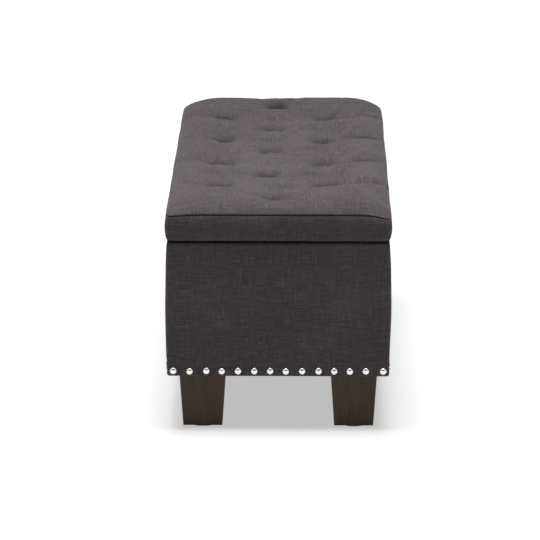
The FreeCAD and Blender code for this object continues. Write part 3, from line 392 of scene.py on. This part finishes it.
lidLow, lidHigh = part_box("lid_top_cover")
halfX, halfY = (lidHigh.x - lidLow.x) / 2, (lidHigh.y - lidLow.y) / 2
lid = {
    "seam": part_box("lid_boxing")[1].z, "under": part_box("lid_boxing")[0].z, "top": lidHigh.z + 0.0045,
    "inset": 0.0012, "corner": 0.010, "step": 0.0045, "uneven": 0.0010,
    "droop": 0.082, "roundness": 0.58,  # how far in the crown reaches its height, and how fast
    "farRise": 0.002, "packed": 0.0060,  # the far end is fuller, most of all behind its last button
    "tuftDepth": 0.030, "tuftSeat": 0.0105, "tuftSlopes": ((0.76, 0.0115), (0.24, 0.032)),
    "pleatDepth": 0.0072, "pleatWidth": 0.013, "edgePleat": (0.85, 0.25), "endPleat": 0.35,
    "cloth": {"pressure": 5.0, "extra": 0.055, "stiffness": 15, "bending": 0.5, "frames": 20, "pulled": 12,
              "sideways": 0.009, "up": 0.0030, "down": 0.010},
    # button places, the middle row first, with the tufter's small unevenness
    "buttons": [(-0.449, -0.010), (-0.230, -0.022), (-0.012, -0.020), (0.207, -0.023), (0.422, -0.006),
                (-0.343, -0.120), (-0.127, -0.122), (0.100, -0.121), (0.312, -0.119),
                (-0.339, 0.097), (-0.113, 0.090), (0.102, 0.090), (0.313, 0.093)],
}


def seamSag(x, y):
    # the seam hangs lower at the corners: two at the end at +X, and both at the far end
    right = 0.0078 * np.exp(-((halfX - x) / 0.03) ** 2 - ((halfY - y) / 0.026) ** 2)
    left = 0.0028 * np.exp(-((halfX - x) / 0.03) ** 2 - ((halfY + y) / 0.03) ** 2)
    far = 0.008 * np.exp(-((halfX + x) / 0.05) ** 2 - ((halfY - np.abs(y)) / 0.05) ** 2)
    return right + left + far


def pleats():
    # each fold as (start, end, depth at the start, depth at the end)
    made = []
    middle, outer = lid["buttons"][:5], lid["buttons"][5:]
    for m in middle:
        made += [(m, o, 1.0, 1.0) for o in outer if abs(m[0] - o[0]) < 0.14]
    for o in outer:
        side = 1 if o[1] > 0 else -1
        made.append((o, (o[0] + 0.004, side * (halfY + 0.002)), 1.0, lid["edgePleat"][0 if side > 0 else 1]))
    for m in (middle[0], middle[-1]):
        made.append((m, (math.copysign(halfX, m[0]), m[1] + 0.006), lid["endPleat"], 0.0))
    return made


def crownHeight(x, y):
    # the filled shape before it is tufted
    rise = 1
    for inward in (halfX - np.abs(x), halfY - np.abs(y)):
        rise = rise * (1 - (1 - np.clip(inward / lid["droop"], 0, 1)) ** 2) ** lid["roundness"]
    top = lid["top"] - lid["seam"] + lid["farRise"] * np.clip(0.35 - x / halfX, 0, 1)
    packed = lid["packed"] * np.exp(-((x + halfX - 0.045) / 0.028) ** 2 - ((y + 0.006) / 0.045) ** 2)
    return (top + packed) * rise


def lidHeight(x, y):
    # the tufted surface, and how deep its tufts alone are
    crown = crownHeight(x, y)
    dip = np.zeros_like(x)
    for start, end, startDepth, endDepth in pleats():
        a, b = np.array(start), np.array(end)
        run = b - a
        t = np.clip(((x - a[0]) * run[0] + (y - a[1]) * run[1]) / (run @ run), 0, 1)
        away = np.hypot(x - a[0] - run[0] * t, y - a[1] - run[1] * t)
        strength = startDepth * (1 - t) + endDepth * t
        if endDepth == 1.0:
            strength = strength * (0.62 + 0.38 * np.cos(math.tau * t))  # shallower between two buttons
        fall = np.exp(-(np.sqrt(away ** 2 + 0.0025 ** 2) - 0.0025) / lid["pleatWidth"])
        dip = np.maximum(dip, lid["pleatDepth"] * strength * fall)
    tuft = np.zeros_like(x)
    for bx, by in lid["buttons"]:
        away = np.maximum(np.hypot(x - bx, y - by) - lid["tuftSeat"], 0)
        soft = np.sqrt(away ** 2 + 0.003 ** 2) - 0.003
        slope = sum(share * np.exp(-soft / reach) for share, reach in lid["tuftSlopes"])
        tuft = np.maximum(tuft, lid["tuftDepth"] * slope)
    sink = np.maximum(tuft, dip) + 0.25 * np.minimum(tuft, dip)
    uneven = lid["uneven"] * ripple(x, y, 0.11, 3) * np.clip(crown / 0.02, 0, 1)
    return lid["seam"] + crown + uneven - sink * np.clip(crown / 0.012, 0.25, 1) - seamSag(x, y), tuft


def settleCloth(start, pulled, quads, pinned, cloth):
    # a cloth of this mesh swells under pressure while its pinned points go from start to pulled
    mesh = bpy.data.meshes.new("settling")
    mesh.from_pydata(start.tolist(), [], quads.tolist())
    piece = bpy.data.objects.new("settling", mesh)
    scene.collection.objects.link(piece)
    piece.shape_key_add(name="start")
    key = piece.shape_key_add(name="pulled")
    key.data.foreach_set("co", pulled.ravel())
    for value, when in ((0.0, 1), (1.0, cloth["pulled"])):
        key.value = value
        key.keyframe_insert("value", frame=when)
    piece.vertex_groups.new(name="pinned").add([int(i) for i in pinned], 1.0, "REPLACE")
    modifier = piece.modifiers.new("cloth", "CLOTH")
    settings = modifier.settings
    settings.vertex_group_mass = "pinned"
    settings.tension_stiffness = settings.compression_stiffness = cloth["stiffness"]
    settings.bending_stiffness = cloth["bending"]
    settings.use_pressure = True
    settings.uniform_pressure_force = cloth["pressure"]
    settings.shrink_min = -cloth["extra"]
    settings.air_damping = 5
    settings.effector_weights.gravity = 0
    modifier.collision_settings.use_collision = False
    modifier.point_cache.frame_start = 1
    modifier.point_cache.frame_end = cloth["frames"]
    for when in range(1, cloth["frames"] + 1):
        scene.frame_set(when)
    flat = np.empty(len(start) * 3, dtype=np.float32)
    piece.evaluated_get(bpy.context.evaluated_depsgraph_get()).data.vertices.foreach_get("co", flat)
    bpy.data.objects.remove(piece)
    for action in list(bpy.data.actions):
        bpy.data.actions.remove(action)
    scene.frame_set(1)
    return flat.reshape(-1, 3).astype(float)


shape = Outline(halfX - lid["inset"], halfY - lid["inset"], lid["corner"], lid["step"])
topZ, tuftSink = lidHeight(shape.x, shape.y)
top = np.stack([shape.x, shape.y, topZ], axis=1)
untufted = top.copy()
free = np.ones(len(top), dtype=bool)
free[shape.loop] = False
untufted[free, 2] = (lid["seam"] + crownHeight(shape.x, shape.y) - seamSag(shape.x, shape.y))[free]
underButton = np.zeros(len(top), dtype=bool)
for bx, by in lid["buttons"]:
    underButton |= np.hypot(shape.x - bx, shape.y - by) < 0.0095
pulled = untufted.copy()
pulled[underButton] = top[underButton]
settled = settleCloth(untufted, pulled, shape.quads, np.where(underButton | ~free)[0], lid["cloth"])
# the stuffing is firmest along the -Y side and at both ends, where fewer folds form
firm = sum(0.72 * np.exp(-(inward / reach) ** 2) for inward, reach in (
    (halfY + shape.y, 0.12), (halfX + shape.x, 0.13), (halfX - shape.x, 0.10)))
move = (settled - top) * (1 - np.clip(firm, 0, 0.8))[:, None]
sidestep = np.maximum(np.hypot(move[:, 0], move[:, 1]), 1e-9)
move[:, :2] *= np.minimum(lid["cloth"]["sideways"] / sidestep, 1)[:, None]
move[:, 2] = np.clip(move[:, 2], -lid["cloth"]["down"], lid["cloth"]["up"])
top = top + move
print("lid cloth settled", round(float(sidestep.max()), 4))


def soften(grid, passes):
    # repeated averaging with the neighbours
    for _ in range(passes):
        wide = np.pad(grid, 1, mode="edge")
        grid = (wide[:-2, 1:-1] + wide[2:, 1:-1] + wide[1:-1, :-2] + wide[1:-1, 2:] + 4 * grid) / 8
    return grid


# the side of the pad, from the rolled edge down to the seam and in under it
seamZ = lid["seam"] - seamSag(shape.bx, shape.by)
padRings = [(offset, seamZ * (1 - share) + topZ[shape.loop] * share)
            for offset, share in ((0.0012, 0.75), (0.0014, 0.4), (0.0004, 0.12))]
padRings += [(-0.0018, seamZ), (-0.006, seamZ - 0.002)]
pad = padMesh("lid_tufted_pad", shape, top, padRings, np.full(len(shape.x), lid["seam"] - 0.008), fabric)

# painted shade: the cover is darkened where the surface lies below its surroundings, and inside the tufts
relief = (top[:, 2] - crownHeight(shape.x, shape.y)).reshape(shape.nx, shape.ny)
hollowShade = (soften(relief, 90) - soften(relief, 3)).ravel()
paintedShade = np.zeros(len(pad.data.vertices), dtype=np.float32)
paintedShade[:len(hollowShade)] = (np.clip(hollowShade / 0.011, 0, 1) ** 1.1 * 0.68
                      + np.clip((tuftSink - 0.012) / 0.02, 0, 1) * 0.36)
pad.data.attributes.new("paintedShade", "FLOAT", "POINT").data.foreach_set("value", paintedShade)
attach(pad, "lid")
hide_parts("lid_top_cover", "lid_foam")
print("lid pad done", len(pad.data.vertices))

# side band of the lid, boxed round the foam and turned in underneath
band = {
    "height": lid["seam"] - lid["under"], "corner": 0.0085, "step": 0.006, "bulge": 0.0040, "wave": 0.0007,
    "roll": 0.005, "flange": 0.042, "seamTuck": 0.0026,
}
bandShape = Outline(halfX, halfY, band["corner"], band["step"])
bandSag = seamSag(bandShape.bx, bandShape.by)
bandRings = []
for level in np.concatenate([[1.0, 0.992, 0.975, 0.95], np.linspace(0.9, 0.14, 11)]):
    swell = band["bulge"] * math.sin(math.pi * level) ** 0.8 if level < 0.96 else 0
    tuck = -band["seamTuck"] * math.exp(-(1 - level) * band["height"] / 0.0016)
    z = lid["under"] + band["height"] * level - bandSag * level ** 3
    wave = band["wave"] * ripple(bandShape.s, z * 3, 0.16, 11)
    bandRings.append((swell + tuck + wave * (1 - level ** 6), z))
for angle in (20, 45, 70, 90):
    turn = math.radians(angle)
    bandRings.append((band["roll"] * (math.cos(turn) - 1) + 0.0006,
                      lid["under"] + band["roll"] * (1 - math.sin(turn))))
inward = np.minimum(halfX - np.abs(bandShape.x), halfY - np.abs(bandShape.y))
underZ = (lid["under"] + 0.0009 * np.clip((inward - band["flange"]) / 0.004, 0, 1)
          + 0.0002 * (1 + ripple(bandShape.x, bandShape.y, 0.05, 5)))
bandTop = lid["seam"] - 0.004 - seamSag(bandShape.x, bandShape.y)
bandPad = padMesh("lid_boxing_band", bandShape, np.stack([bandShape.x, bandShape.y, bandTop], axis=1),
                  bandRings, underZ, fabric)
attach(bandPad, "lid")
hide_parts("lid_boxing")
print("lid band done", len(bandPad.data.vertices))

# domed nails along the hem; their places also dimple the cover
nail = {
    "margin": 0.013, "across": 14, "along": 35, "shake": 0.0012, "lift": 0.0006,
    "radius": 0.0070, "rise": 0.0042, "skirt": 0.0006, "shank": 0.0009, "lean": 0.07, "spread": 0.03,
}
nailZ = (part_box("nails_front")[0].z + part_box("nails_front")[1].z) / 2
nailDice = random.Random(41)
nailPlaces = {}
for side, (sx, sy) in {"front": (0, -1), "back": (0, 1), "left": (-1, 0), "right": (1, 0)}.items():
    reach = (halfX if sy else halfY) - nail["margin"]
    count = nail["along" if sy else "across"]
    nailPlaces[side] = []
    for i in range(count):
        along = -reach + 2 * reach * i / (count - 1) + nailDice.uniform(-nail["shake"], nail["shake"])
        z = nailZ + nailDice.uniform(-nail["lift"], nail["lift"])
        place = Vector((along, sy * halfY, z)) if sy else Vector((sx * halfX, along, z))
        nailPlaces[side].append((place, Vector((sx, sy, 0))))
allNails = np.array([place for places in nailPlaces.values() for place, _ in places])

# one shell of fabric round the box: up the outside, over the rim and a little way down inside
boxLow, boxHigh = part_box("box_cover")
box = {
    "hem": boxLow.z, "rim": boxHigh.z, "wall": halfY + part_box("front_panel")[1].y,
    "corner": 0.0065, "step": 0.0045, "bulge": 0.0032, "wave": 0.0008, "roll": 0.006, "lip": 0.030,
    "trim": boxLow.z + 0.0265, "trimStep": 0.0012,  # the hem is doubled up to this height
    "dimple": 0.0016, "dimpleReach": 0.0075,
}
boxShape = Outline(halfX, halfY, box["corner"], box["step"])


def boxOffset(z):
    # how far the fabric stands out at one height, round the whole loop
    level = (z - box["hem"]) / (box["rim"] - box["hem"])
    swell = box["bulge"] * math.sin(math.pi * min(max((level - 0.06) / 0.90, 0), 1)) ** 0.7
    wave = box["wave"] * ripple(boxShape.s, np.full_like(boxShape.s, z * 1.6), 0.19, 23)
    corner = (np.abs(boxShape.dx) > 0.05) & (np.abs(boxShape.dy) > 0.05)
    out = swell * np.where(corner, 0.55, 1) + wave * min(level * 6, (1 - level) * 6, 1)
    if z < box["trim"] + 0.002:
        out = out + box["trimStep"] * np.clip((box["trim"] - z) / 0.002 + 0.5, 0, 1)
    near = np.abs(z - allNails[:, 2]) < 0.02
    if near.any():
        apart = [border[:, None] - allNails[None, near, axis]
                 for axis, border in enumerate((boxShape.bx, boxShape.by))]
        gap = np.sqrt(apart[0] ** 2 + apart[1] ** 2 + (z - allNails[None, near, 2]) ** 2).min(axis=1)
        out = out - box["dimple"] * np.exp(-(gap / box["dimpleReach"]) ** 2) - 0.0004
    return out


def loopMesh(name, shape, rings, material):
    # a closed tube round the box: the last ring joins the first
    count, total = len(shape.bx), len(rings)
    points = [shape.ring(offset, z) for offset, z in rings]
    faces, uvs, level = [], [], 0.0
    for k in range(total):
        after = (k + 1) % total
        step = float(np.mean(np.linalg.norm(points[after] - points[k], axis=1)))
        bandFaces, bandUvs = shape.between(
            np.arange(count) + after * count, np.arange(count) + k * count, level + step, level)
        faces.append(bandFaces)
        uvs.append(bandUvs)
        level += step
    return buildMesh(name, np.concatenate(points), np.concatenate(faces), np.concatenate(uvs), material)


# the rings as (offset, height): turned in under the hem, up the side, over the rim, and down the wall
boxRings = [(-0.0142, box["hem"] + 0.0016), (-0.010, box["hem"] + 0.0002),
            (-0.004, box["hem"]), (-0.0012, box["hem"] + 0.0006)]
levels = [*np.linspace(box["hem"] + 0.0022, box["trim"] + 0.003, 13),
          *np.linspace(box["trim"] + 0.009, box["rim"] - box["roll"], 26)]
boxRings += [(boxOffset(z), z) for z in levels]
for angle in (20, 40, 60, 78):
    turn = math.radians(angle)
    boxRings.append((box["roll"] * (math.cos(turn) - 1), box["rim"] - box["roll"] * (1 - math.sin(turn))))
boxRings += [(-0.0085, box["rim"] - 0.0001), (-0.013, box["rim"])]
for past, drop in ((-0.003, 0.0), (-0.0006, 0.0004), (0.0006, 0.0014), (0.0011, 0.003), (0.0012, 0.010),
                   (0.0010, 0.020), (0.0012, box["lip"] + 0.0012), (-0.004, box["lip"] + 0.0012)):
    boxRings.append((-box["wall"] - past, box["rim"] - drop))
boxPad = loopMesh("box_padded_cover", boxShape, boxRings, fabric)
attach(boxPad, "base")
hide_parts("box_cover", "padding_front", "padding_back", "padding_left", "padding_right")
print("box cover done", len(boxPad.data.vertices))


def sheetPiece(name, points, faces, thickness):
    # a single layer of lining cloth that is then given its thickness, away from the seen side
    piece = buildMesh(name, points, faces, np.zeros((len(faces), 4, 2)), liningCloth)
    solid = piece.modifiers.new("thickness", "SOLIDIFY")
    solid.thickness = thickness
    solid.offset = -1
    return piece


# the tray of cloth inside the box, puckered along its walls
lowInside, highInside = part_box("inner_lining")
tray = {
    "halfX": highInside.x - 0.0004, "halfY": highInside.y - 0.0004, "depth": highInside.z - lowInside.z,
    "corner": 0.006, "step": 0.02, "thickness": 0.0006, "pucker": 0.0003, "lift": 0.0008,
}
trayShape = Outline(tray["halfX"], tray["halfY"], tray["corner"], tray["step"])
trayFloor = lowInside.z + tray["lift"] + 0.0006 * (1 + ripple(trayShape.x, trayShape.y, 0.3, 51))
trayPoints = [np.stack([trayShape.x, trayShape.y, trayFloor], axis=1)]
trayFaces = [trayShape.quads]
above = trayShape.loop
for k, level in enumerate(np.linspace(0.03, 1.0, 12)):
    pucker = -tray["pucker"] * (1 + ripple(trayShape.s, np.full_like(trayShape.s, level * 0.2), 0.12, 52))
    trayPoints.append(trayShape.ring(pucker, lowInside.z + tray["depth"] * level))
    index = len(trayShape.x) + len(trayShape.s) * k + np.arange(len(trayShape.s))
    trayFaces.append(trayShape.between(index, above, 0, 0)[0][:, ::-1])
    above = index
trayPiece = sheetPiece("storage_lining", np.concatenate(trayPoints), np.concatenate(trayFaces),
                       tray["thickness"])
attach(trayPiece, "base")
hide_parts("inner_lining")


def stations(low, high, marks, step):
    # evenly divided stretches between the marks
    ends = [low, *marks, high]
    made = []
    for a, b in zip(ends, ends[1:]):
        parts = max(1, round((b - a) / step))
        made += [a + (b - a) * i / parts for i in range(parts)]
    return np.array(made + [high])


# the dust cover sags a little between its staples, and is cut out round the legs
dust = {"edge": 0.0005, "step": 0.02, "legGap": 0.0002, "sag": 0.0032, "sagReach": 0.15, "thickness": 0.0005}
dustLow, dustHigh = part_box("dust_cover")
legSpots = [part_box(f"leg_{corner}") for corner in ("front_left", "front_right", "back_left", "back_right")]
gap = dust["legGap"]
cutX = sorted({round(v, 5) for low, high in legSpots for v in (low.x - gap, high.x + gap)})
cutY = sorted({round(v, 5) for low, high in legSpots for v in (low.y - gap, high.y + gap)})
lineX = stations(dustLow.x + dust["edge"], dustHigh.x - dust["edge"], cutX, dust["step"])
lineY = stations(dustLow.y + dust["edge"], dustHigh.y - dust["edge"], cutY, dust["step"])
gridX, gridY = np.meshgrid(lineX, lineY, indexing="ij")
inwardX = np.minimum(gridX - lineX[0], lineX[-1] - gridX)
inwardY = np.minimum(gridY - lineY[0], lineY[-1] - gridY)
inward = np.minimum(inwardX, inwardY)
sagging = (dust["sag"] * np.clip(inward / dust["sagReach"], 0, 1) ** 0.7
           * (1 + 0.25 * ripple(gridX, gridY, 0.35, 61)))
ny = len(lineY)
dustFaces = []
for i in range(len(lineX) - 1):
    for j in range(ny - 1):
        midX, midY = (lineX[i] + lineX[i + 1]) / 2, (lineY[j] + lineY[j + 1]) / 2
        if not any(low.x < midX < high.x and low.y < midY < high.y for low, high in legSpots):
            dustFaces.append((i * ny + j, i * ny + j + 1, (i + 1) * ny + j + 1, (i + 1) * ny + j))
dustZ = dustLow.z + 0.0002 - sagging
dustPoints = np.stack([gridX.ravel(), gridY.ravel(), dustZ.ravel()], axis=1)
dustPiece = sheetPiece("underside_dust_cover", dustPoints, np.array(dustFaces), dust["thickness"])
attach(dustPiece, "base")
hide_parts("dust_cover")

# the cloth under the lid lies flat, with slight waves
underLid = {"stations": (70, 26), "wave": 0.0002, "thickness": 0.0004}
linLow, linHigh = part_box("lid_lining")
nx, ny = underLid["stations"]
gridX, gridY = np.meshgrid(np.linspace(linLow.x, linHigh.x, nx), np.linspace(linLow.y, linHigh.y, ny),
                           indexing="ij")
underLidZ = linLow.z + 0.0001 + underLid["wave"] * (1 + ripple(gridX, gridY, 0.09, 71))
underPoints = np.stack([gridX.ravel(), gridY.ravel(), underLidZ.ravel()], axis=1)
underPiece = sheetPiece("lid_underside_lining", underPoints, gridQuads(nx, ny)[:, [0, 3, 2, 1]],
                        underLid["thickness"])
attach(underPiece, "lid")
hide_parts("lid_lining")
print("linings done")


def turnedMesh(name, profile, steps, material, gather=0.0, folds=0):
    # a profile of (radius, height) turned about Z; gather draws folds into the outer edge
    points, faces = [], []
    reach = max(r for r, _ in profile)
    for r, z in profile:
        for k in range(steps):
            angle = math.tau * k / steps
            wide = r * (1 + gather * math.cos(folds * angle) * (r / reach) ** 4)
            points.append((wide * math.cos(angle), wide * math.sin(angle), z))
    for ring in range(len(profile) - 1):
        for k in range(steps):
            a, b = ring * steps + k, ring * steps + (k + 1) % steps
            faces.append((a, b, b + steps, a + steps))
    faces.append(tuple(reversed(range(steps))))
    faces.append(tuple((len(profile) - 1) * steps + k for k in range(steps)))
    mesh = bpy.data.meshes.new(name)
    mesh.from_pydata(points, [], faces)
    layer = mesh.uv_layers.new(name="UVMap")
    for loop in mesh.loops:
        layer.data[loop.index].uv = mesh.vertices[loop.vertex_index].co.xy
    mesh.polygons.foreach_set("use_smooth", [True] * len(mesh.polygons))
    mesh.materials.append(material)
    return bpy.data.objects.new(name, mesh)


def repeaterGroup():
    # copies of one object on every point, each turned to the point's facing and shaken a little
    group = bpy.data.node_groups.new("repeater", "GeometryNodeTree")
    for name, kind in (("Geometry", "Geometry"), ("Original", "Object"), ("Lean", "Float"),
                       ("Size Spread", "Float"), ("Seed", "Int"), ("Finish", "Material")):
        group.interface.new_socket(name, in_out="INPUT", socket_type="NodeSocket" + kind)
    group.interface.new_socket("Geometry", in_out="OUTPUT", socket_type="NodeSocketGeometry")
    given = addNode(group, "NodeGroupInput").outputs
    facing = addNode(group, "GeometryNodeInputNamedAttribute", [("Name", "facing")],
                     data_type="FLOAT_VECTOR").outputs[0]
    shake = addNode(group, "FunctionNodeRandomValue", [
        (0, (-1, -1, -1)), (1, (1, 1, 1)), ("Seed", given["Seed"])], data_type="FLOAT_VECTOR").outputs[0]
    lean = addNode(group, "ShaderNodeVectorMath", [(0, shake), ("Scale", given["Lean"])],
                   operation="SCALE").outputs[0]
    turn = addNode(group, "ShaderNodeVectorMath", [(0, facing), (1, lean)], operation="ADD").outputs[0]
    smallest = addNode(group, "ShaderNodeMath", [(0, 1.0), (1, given["Size Spread"])],
                       operation="SUBTRACT").outputs[0]
    wide = addNode(group, "FunctionNodeRandomValue", [
        (2, smallest), (3, 1.0), ("Seed", given["Seed"])], data_type="FLOAT").outputs[1]
    original = addNode(group, "GeometryNodeObjectInfo", [("Object", given["Original"])]).outputs["Geometry"]
    copies = addNode(group, "GeometryNodeInstanceOnPoints", [
        ("Points", given["Geometry"]), ("Instance", original), ("Rotation", turn),
        ("Scale", wide)]).outputs[0]
    real = addNode(group, "GeometryNodeRealizeInstances", [("Geometry", copies)]).outputs[0]
    done = addNode(group, "GeometryNodeSetMaterial", [
        ("Geometry", real), ("Material", given["Finish"])]).outputs[0]
    addNode(group, "NodeGroupOutput", [("Geometry", done)])
    return group


repeater = repeaterGroup()


def repeat(name, original, places, inputs):
    # places holds (point, outward direction) pairs; gives one plain mesh
    mesh = bpy.data.meshes.new(name + "_points")
    mesh.from_pydata([tuple(p) for p, _ in places], [], [])
    turns = np.array([out.to_track_quat("Z", "Y").to_euler() for _, out in places], dtype=np.float32)
    mesh.attributes.new("facing", "FLOAT_VECTOR", "POINT").data.foreach_set("vector", turns.ravel())
    host = bpy.data.objects.new(name + "_points", mesh)
    scene.collection.objects.link(host)
    modifier = host.modifiers.new("repeater", "NODES")
    modifier.node_group = repeater
    sockets = {item.name: item.identifier for item in repeater.interface.items_tree if item.in_out == "INPUT"}
    for key, value in {"Original": original, **inputs}.items():
        modifier[sockets[key]] = value
    made = bpy.data.meshes.new_from_object(host.evaluated_get(bpy.context.evaluated_depsgraph_get()))
    made.name = name
    piece = bpy.data.objects.new(name, made)
    scene.collection.objects.link(piece)
    bpy.data.objects.remove(host)
    return piece


dome = [(nail["shank"], -0.004), (nail["shank"], -0.0002),
        (nail["radius"] - 0.0007, -nail["skirt"]), (nail["radius"], -nail["skirt"] * 0.4)]
for angle in (6, 16, 28, 40, 52, 64, 75, 84):
    turn = math.radians(angle)
    dome.append((nail["radius"] * math.cos(turn) ** 0.9, nail["rise"] * math.sin(turn)))
nailHead = turnedMesh("nail_head", dome, 28, nickel)
for side, places in nailPlaces.items():
    row = repeat(f"nail_row_{side}", nailHead, places,
                 {"Lean": nail["lean"], "Size Spread": nail["spread"], "Seed": 7, "Finish": nickel})
    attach(row, "base")
    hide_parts(f"nails_{side}")

# covered buttons, gathered round their edge, each tilted in its tuft
button = {
    "seat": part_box("tuft_buttons")[0].z, "tilt": 0.12, "gather": 0.02, "folds": 12,
    "lean": 0.03, "spread": 0.02,
    "profile": [(0.0092, 0.0002), (0.0108, 0.0009), (0.0112, 0.0021), (0.0106, 0.0034), (0.0090, 0.0046),
                (0.0066, 0.0054), (0.0038, 0.0059), (0.0014, 0.0060)],
}
buttonCap = turnedMesh("button_cap", button["profile"], 36, fabric, button["gather"], button["folds"])
buttonDice = random.Random(5)
buttonPlaces = []
for x, y in lid["buttons"]:
    tiltX, tiltY = [buttonDice.uniform(-button["tilt"], button["tilt"]) for _ in range(2)]
    buttonPlaces.append((Vector((x, y, button["seat"])), Vector((tiltX, tiltY, 1))))
buttons = repeat("covered_buttons", buttonCap, buttonPlaces,
                 {"Lean": button["lean"], "Size Spread": button["spread"], "Seed": 3, "Finish": fabric})
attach(buttons, "lid")
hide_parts("tuft_buttons")
for original in (nailHead, buttonCap):
    bpy.data.objects.remove(original)
print("nails and buttons done")

# the floor is white paper that is lit from behind as well
paper = {"half": 9, "colour": "#c9c9c9", "glow": 0.50}
floorMat, floorTree, floorShader = newMaterial("matt_white_paper", {
    "Base Color": tone(paper["colour"]), "Emission Color": (1, 1, 1, 1), "Roughness": 0.95,
    "Specular IOR Level": 0.0})
seen = addNode(floorTree, "ShaderNodeLightPath").outputs
direct = addNode(floorTree, "ShaderNodeMath", [(0, seen["Is Camera Ray"]), (1, seen["Is Glossy Ray"])],
                 operation="MAXIMUM").outputs[0]
glow = addNode(floorTree, "ShaderNodeMath", [(0, direct), (1, paper["glow"])],
               operation="MULTIPLY").outputs[0]
floorTree.links.new(glow, floorShader.inputs["Emission Strength"])
floorMesh = bpy.data.meshes.new("floor")
corners = [(x * paper["half"], y * paper["half"], 0) for x, y in ((-1, -1), (1, -1), (1, 1), (-1, 1))]
floorMesh.from_pydata(corners, [], [(0, 1, 2, 3)])
floorMesh.materials.append(floorMat)
floor = bpy.data.objects.new("floor", floorMesh)
scene.collection.objects.link(floor)

softbox = {"strength": 2.9, "spread": 30, "colour": (0.97, 0.98, 1.0), "aim": (-0.02, 0.02, -1)}
sun = bpy.data.lights.new("overhead_softbox", "SUN")
sun.energy = softbox["strength"]
sun.angle = math.radians(softbox["spread"])
sun.color = softbox["colour"]
lamp = bpy.data.objects.new("overhead_softbox", sun)
lamp.rotation_mode = "QUATERNION"
lamp.rotation_quaternion = Vector(softbox["aim"]).to_track_quat("-Z", "Y")
scene.collection.objects.link(lamp)
overSeat = {"watts": 2.7, "side": 0.5, "place": (0.19, -0.03, 1.2)}
panelLight = bpy.data.lights.new("panel_above_seat", "AREA")
panelLight.energy = overSeat["watts"]
panelLight.size = overSeat["side"]
panel = bpy.data.objects.new("panel_above_seat", panelLight)
panel.location = overSeat["place"]
panel.visible_camera = False
scene.collection.objects.link(panel)

# the studio's walls are white, and dim as a light; the room beyond them, a little above the middle of each
# side and narrower along Y, is dark in reflections
studio = {"light": 0.09, "reflected": 0.95, "dark": 0.82, "narrow": 0.33}
world = bpy.data.worlds.new("studio")
world.use_nodes = True
scene.world = world
tree = world.node_tree
tree.nodes.clear()
ray = addNode(tree, "ShaderNodeLightPath").outputs
spot = addNode(tree, "ShaderNodeTexCoord").outputs["Generated"]
way = addNode(tree, "ShaderNodeSeparateXYZ", [(0, spot)]).outputs
wayX = addNode(tree, "ShaderNodeMath", [(0, way[0])], operation="ABSOLUTE").outputs[0]
wayY = addNode(tree, "ShaderNodeMath", [(0, way[1])], operation="ABSOLUTE").outputs[0]
endways = addNode(tree, "ShaderNodeMath", [(0, wayY), (1, -0.6), (2, wayX)],
                  operation="MULTIPLY_ADD").outputs[0]
sideways = addNode(tree, "ShaderNodeMath", [(0, wayX), (1, -0.6), (2, wayY)],
                   operation="MULTIPLY_ADD").outputs[0]
narrower = addNode(tree, "ShaderNodeMath", [(0, sideways), (1, studio["narrow"])],
                   operation="SUBTRACT").outputs[0]
either = addNode(tree, "ShaderNodeMath", [(0, endways), (1, narrower)], operation="MAXIMUM").outputs[0]
facing = addNode(tree, "ShaderNodeMapRange", [
    ("Value", either), ("From Min", 0.38), ("From Max", 0.52)]).outputs[0]
above = addNode(tree, "ShaderNodeMapRange", [
    ("Value", way[2]), ("From Min", -0.02), ("From Max", 0.12)]).outputs[0]
dark = addNode(tree, "ShaderNodeMath", [(0, facing), (1, above)], operation="MULTIPLY").outputs[0]
gloss = addNode(tree, "ShaderNodeMath", [(0, dark), (1, -studio["dark"]), (2, studio["reflected"])],
                operation="MULTIPLY_ADD").outputs[0]
soft = addNode(tree, "ShaderNodeMix", [
    (0, ray["Is Glossy Ray"]), (2, studio["light"]), (3, gloss)]).outputs[0]
strength = addNode(tree, "ShaderNodeMath", [(0, soft), (1, ray["Is Camera Ray"])],
                   operation="MAXIMUM").outputs[0]
sky = addNode(tree, "ShaderNodeBackground", [("Color", (1, 1, 1, 1)), ("Strength", strength)]).outputs[0]
addNode(tree, "ShaderNodeOutputWorld", [("Surface", sky)])
print("floor and light done")
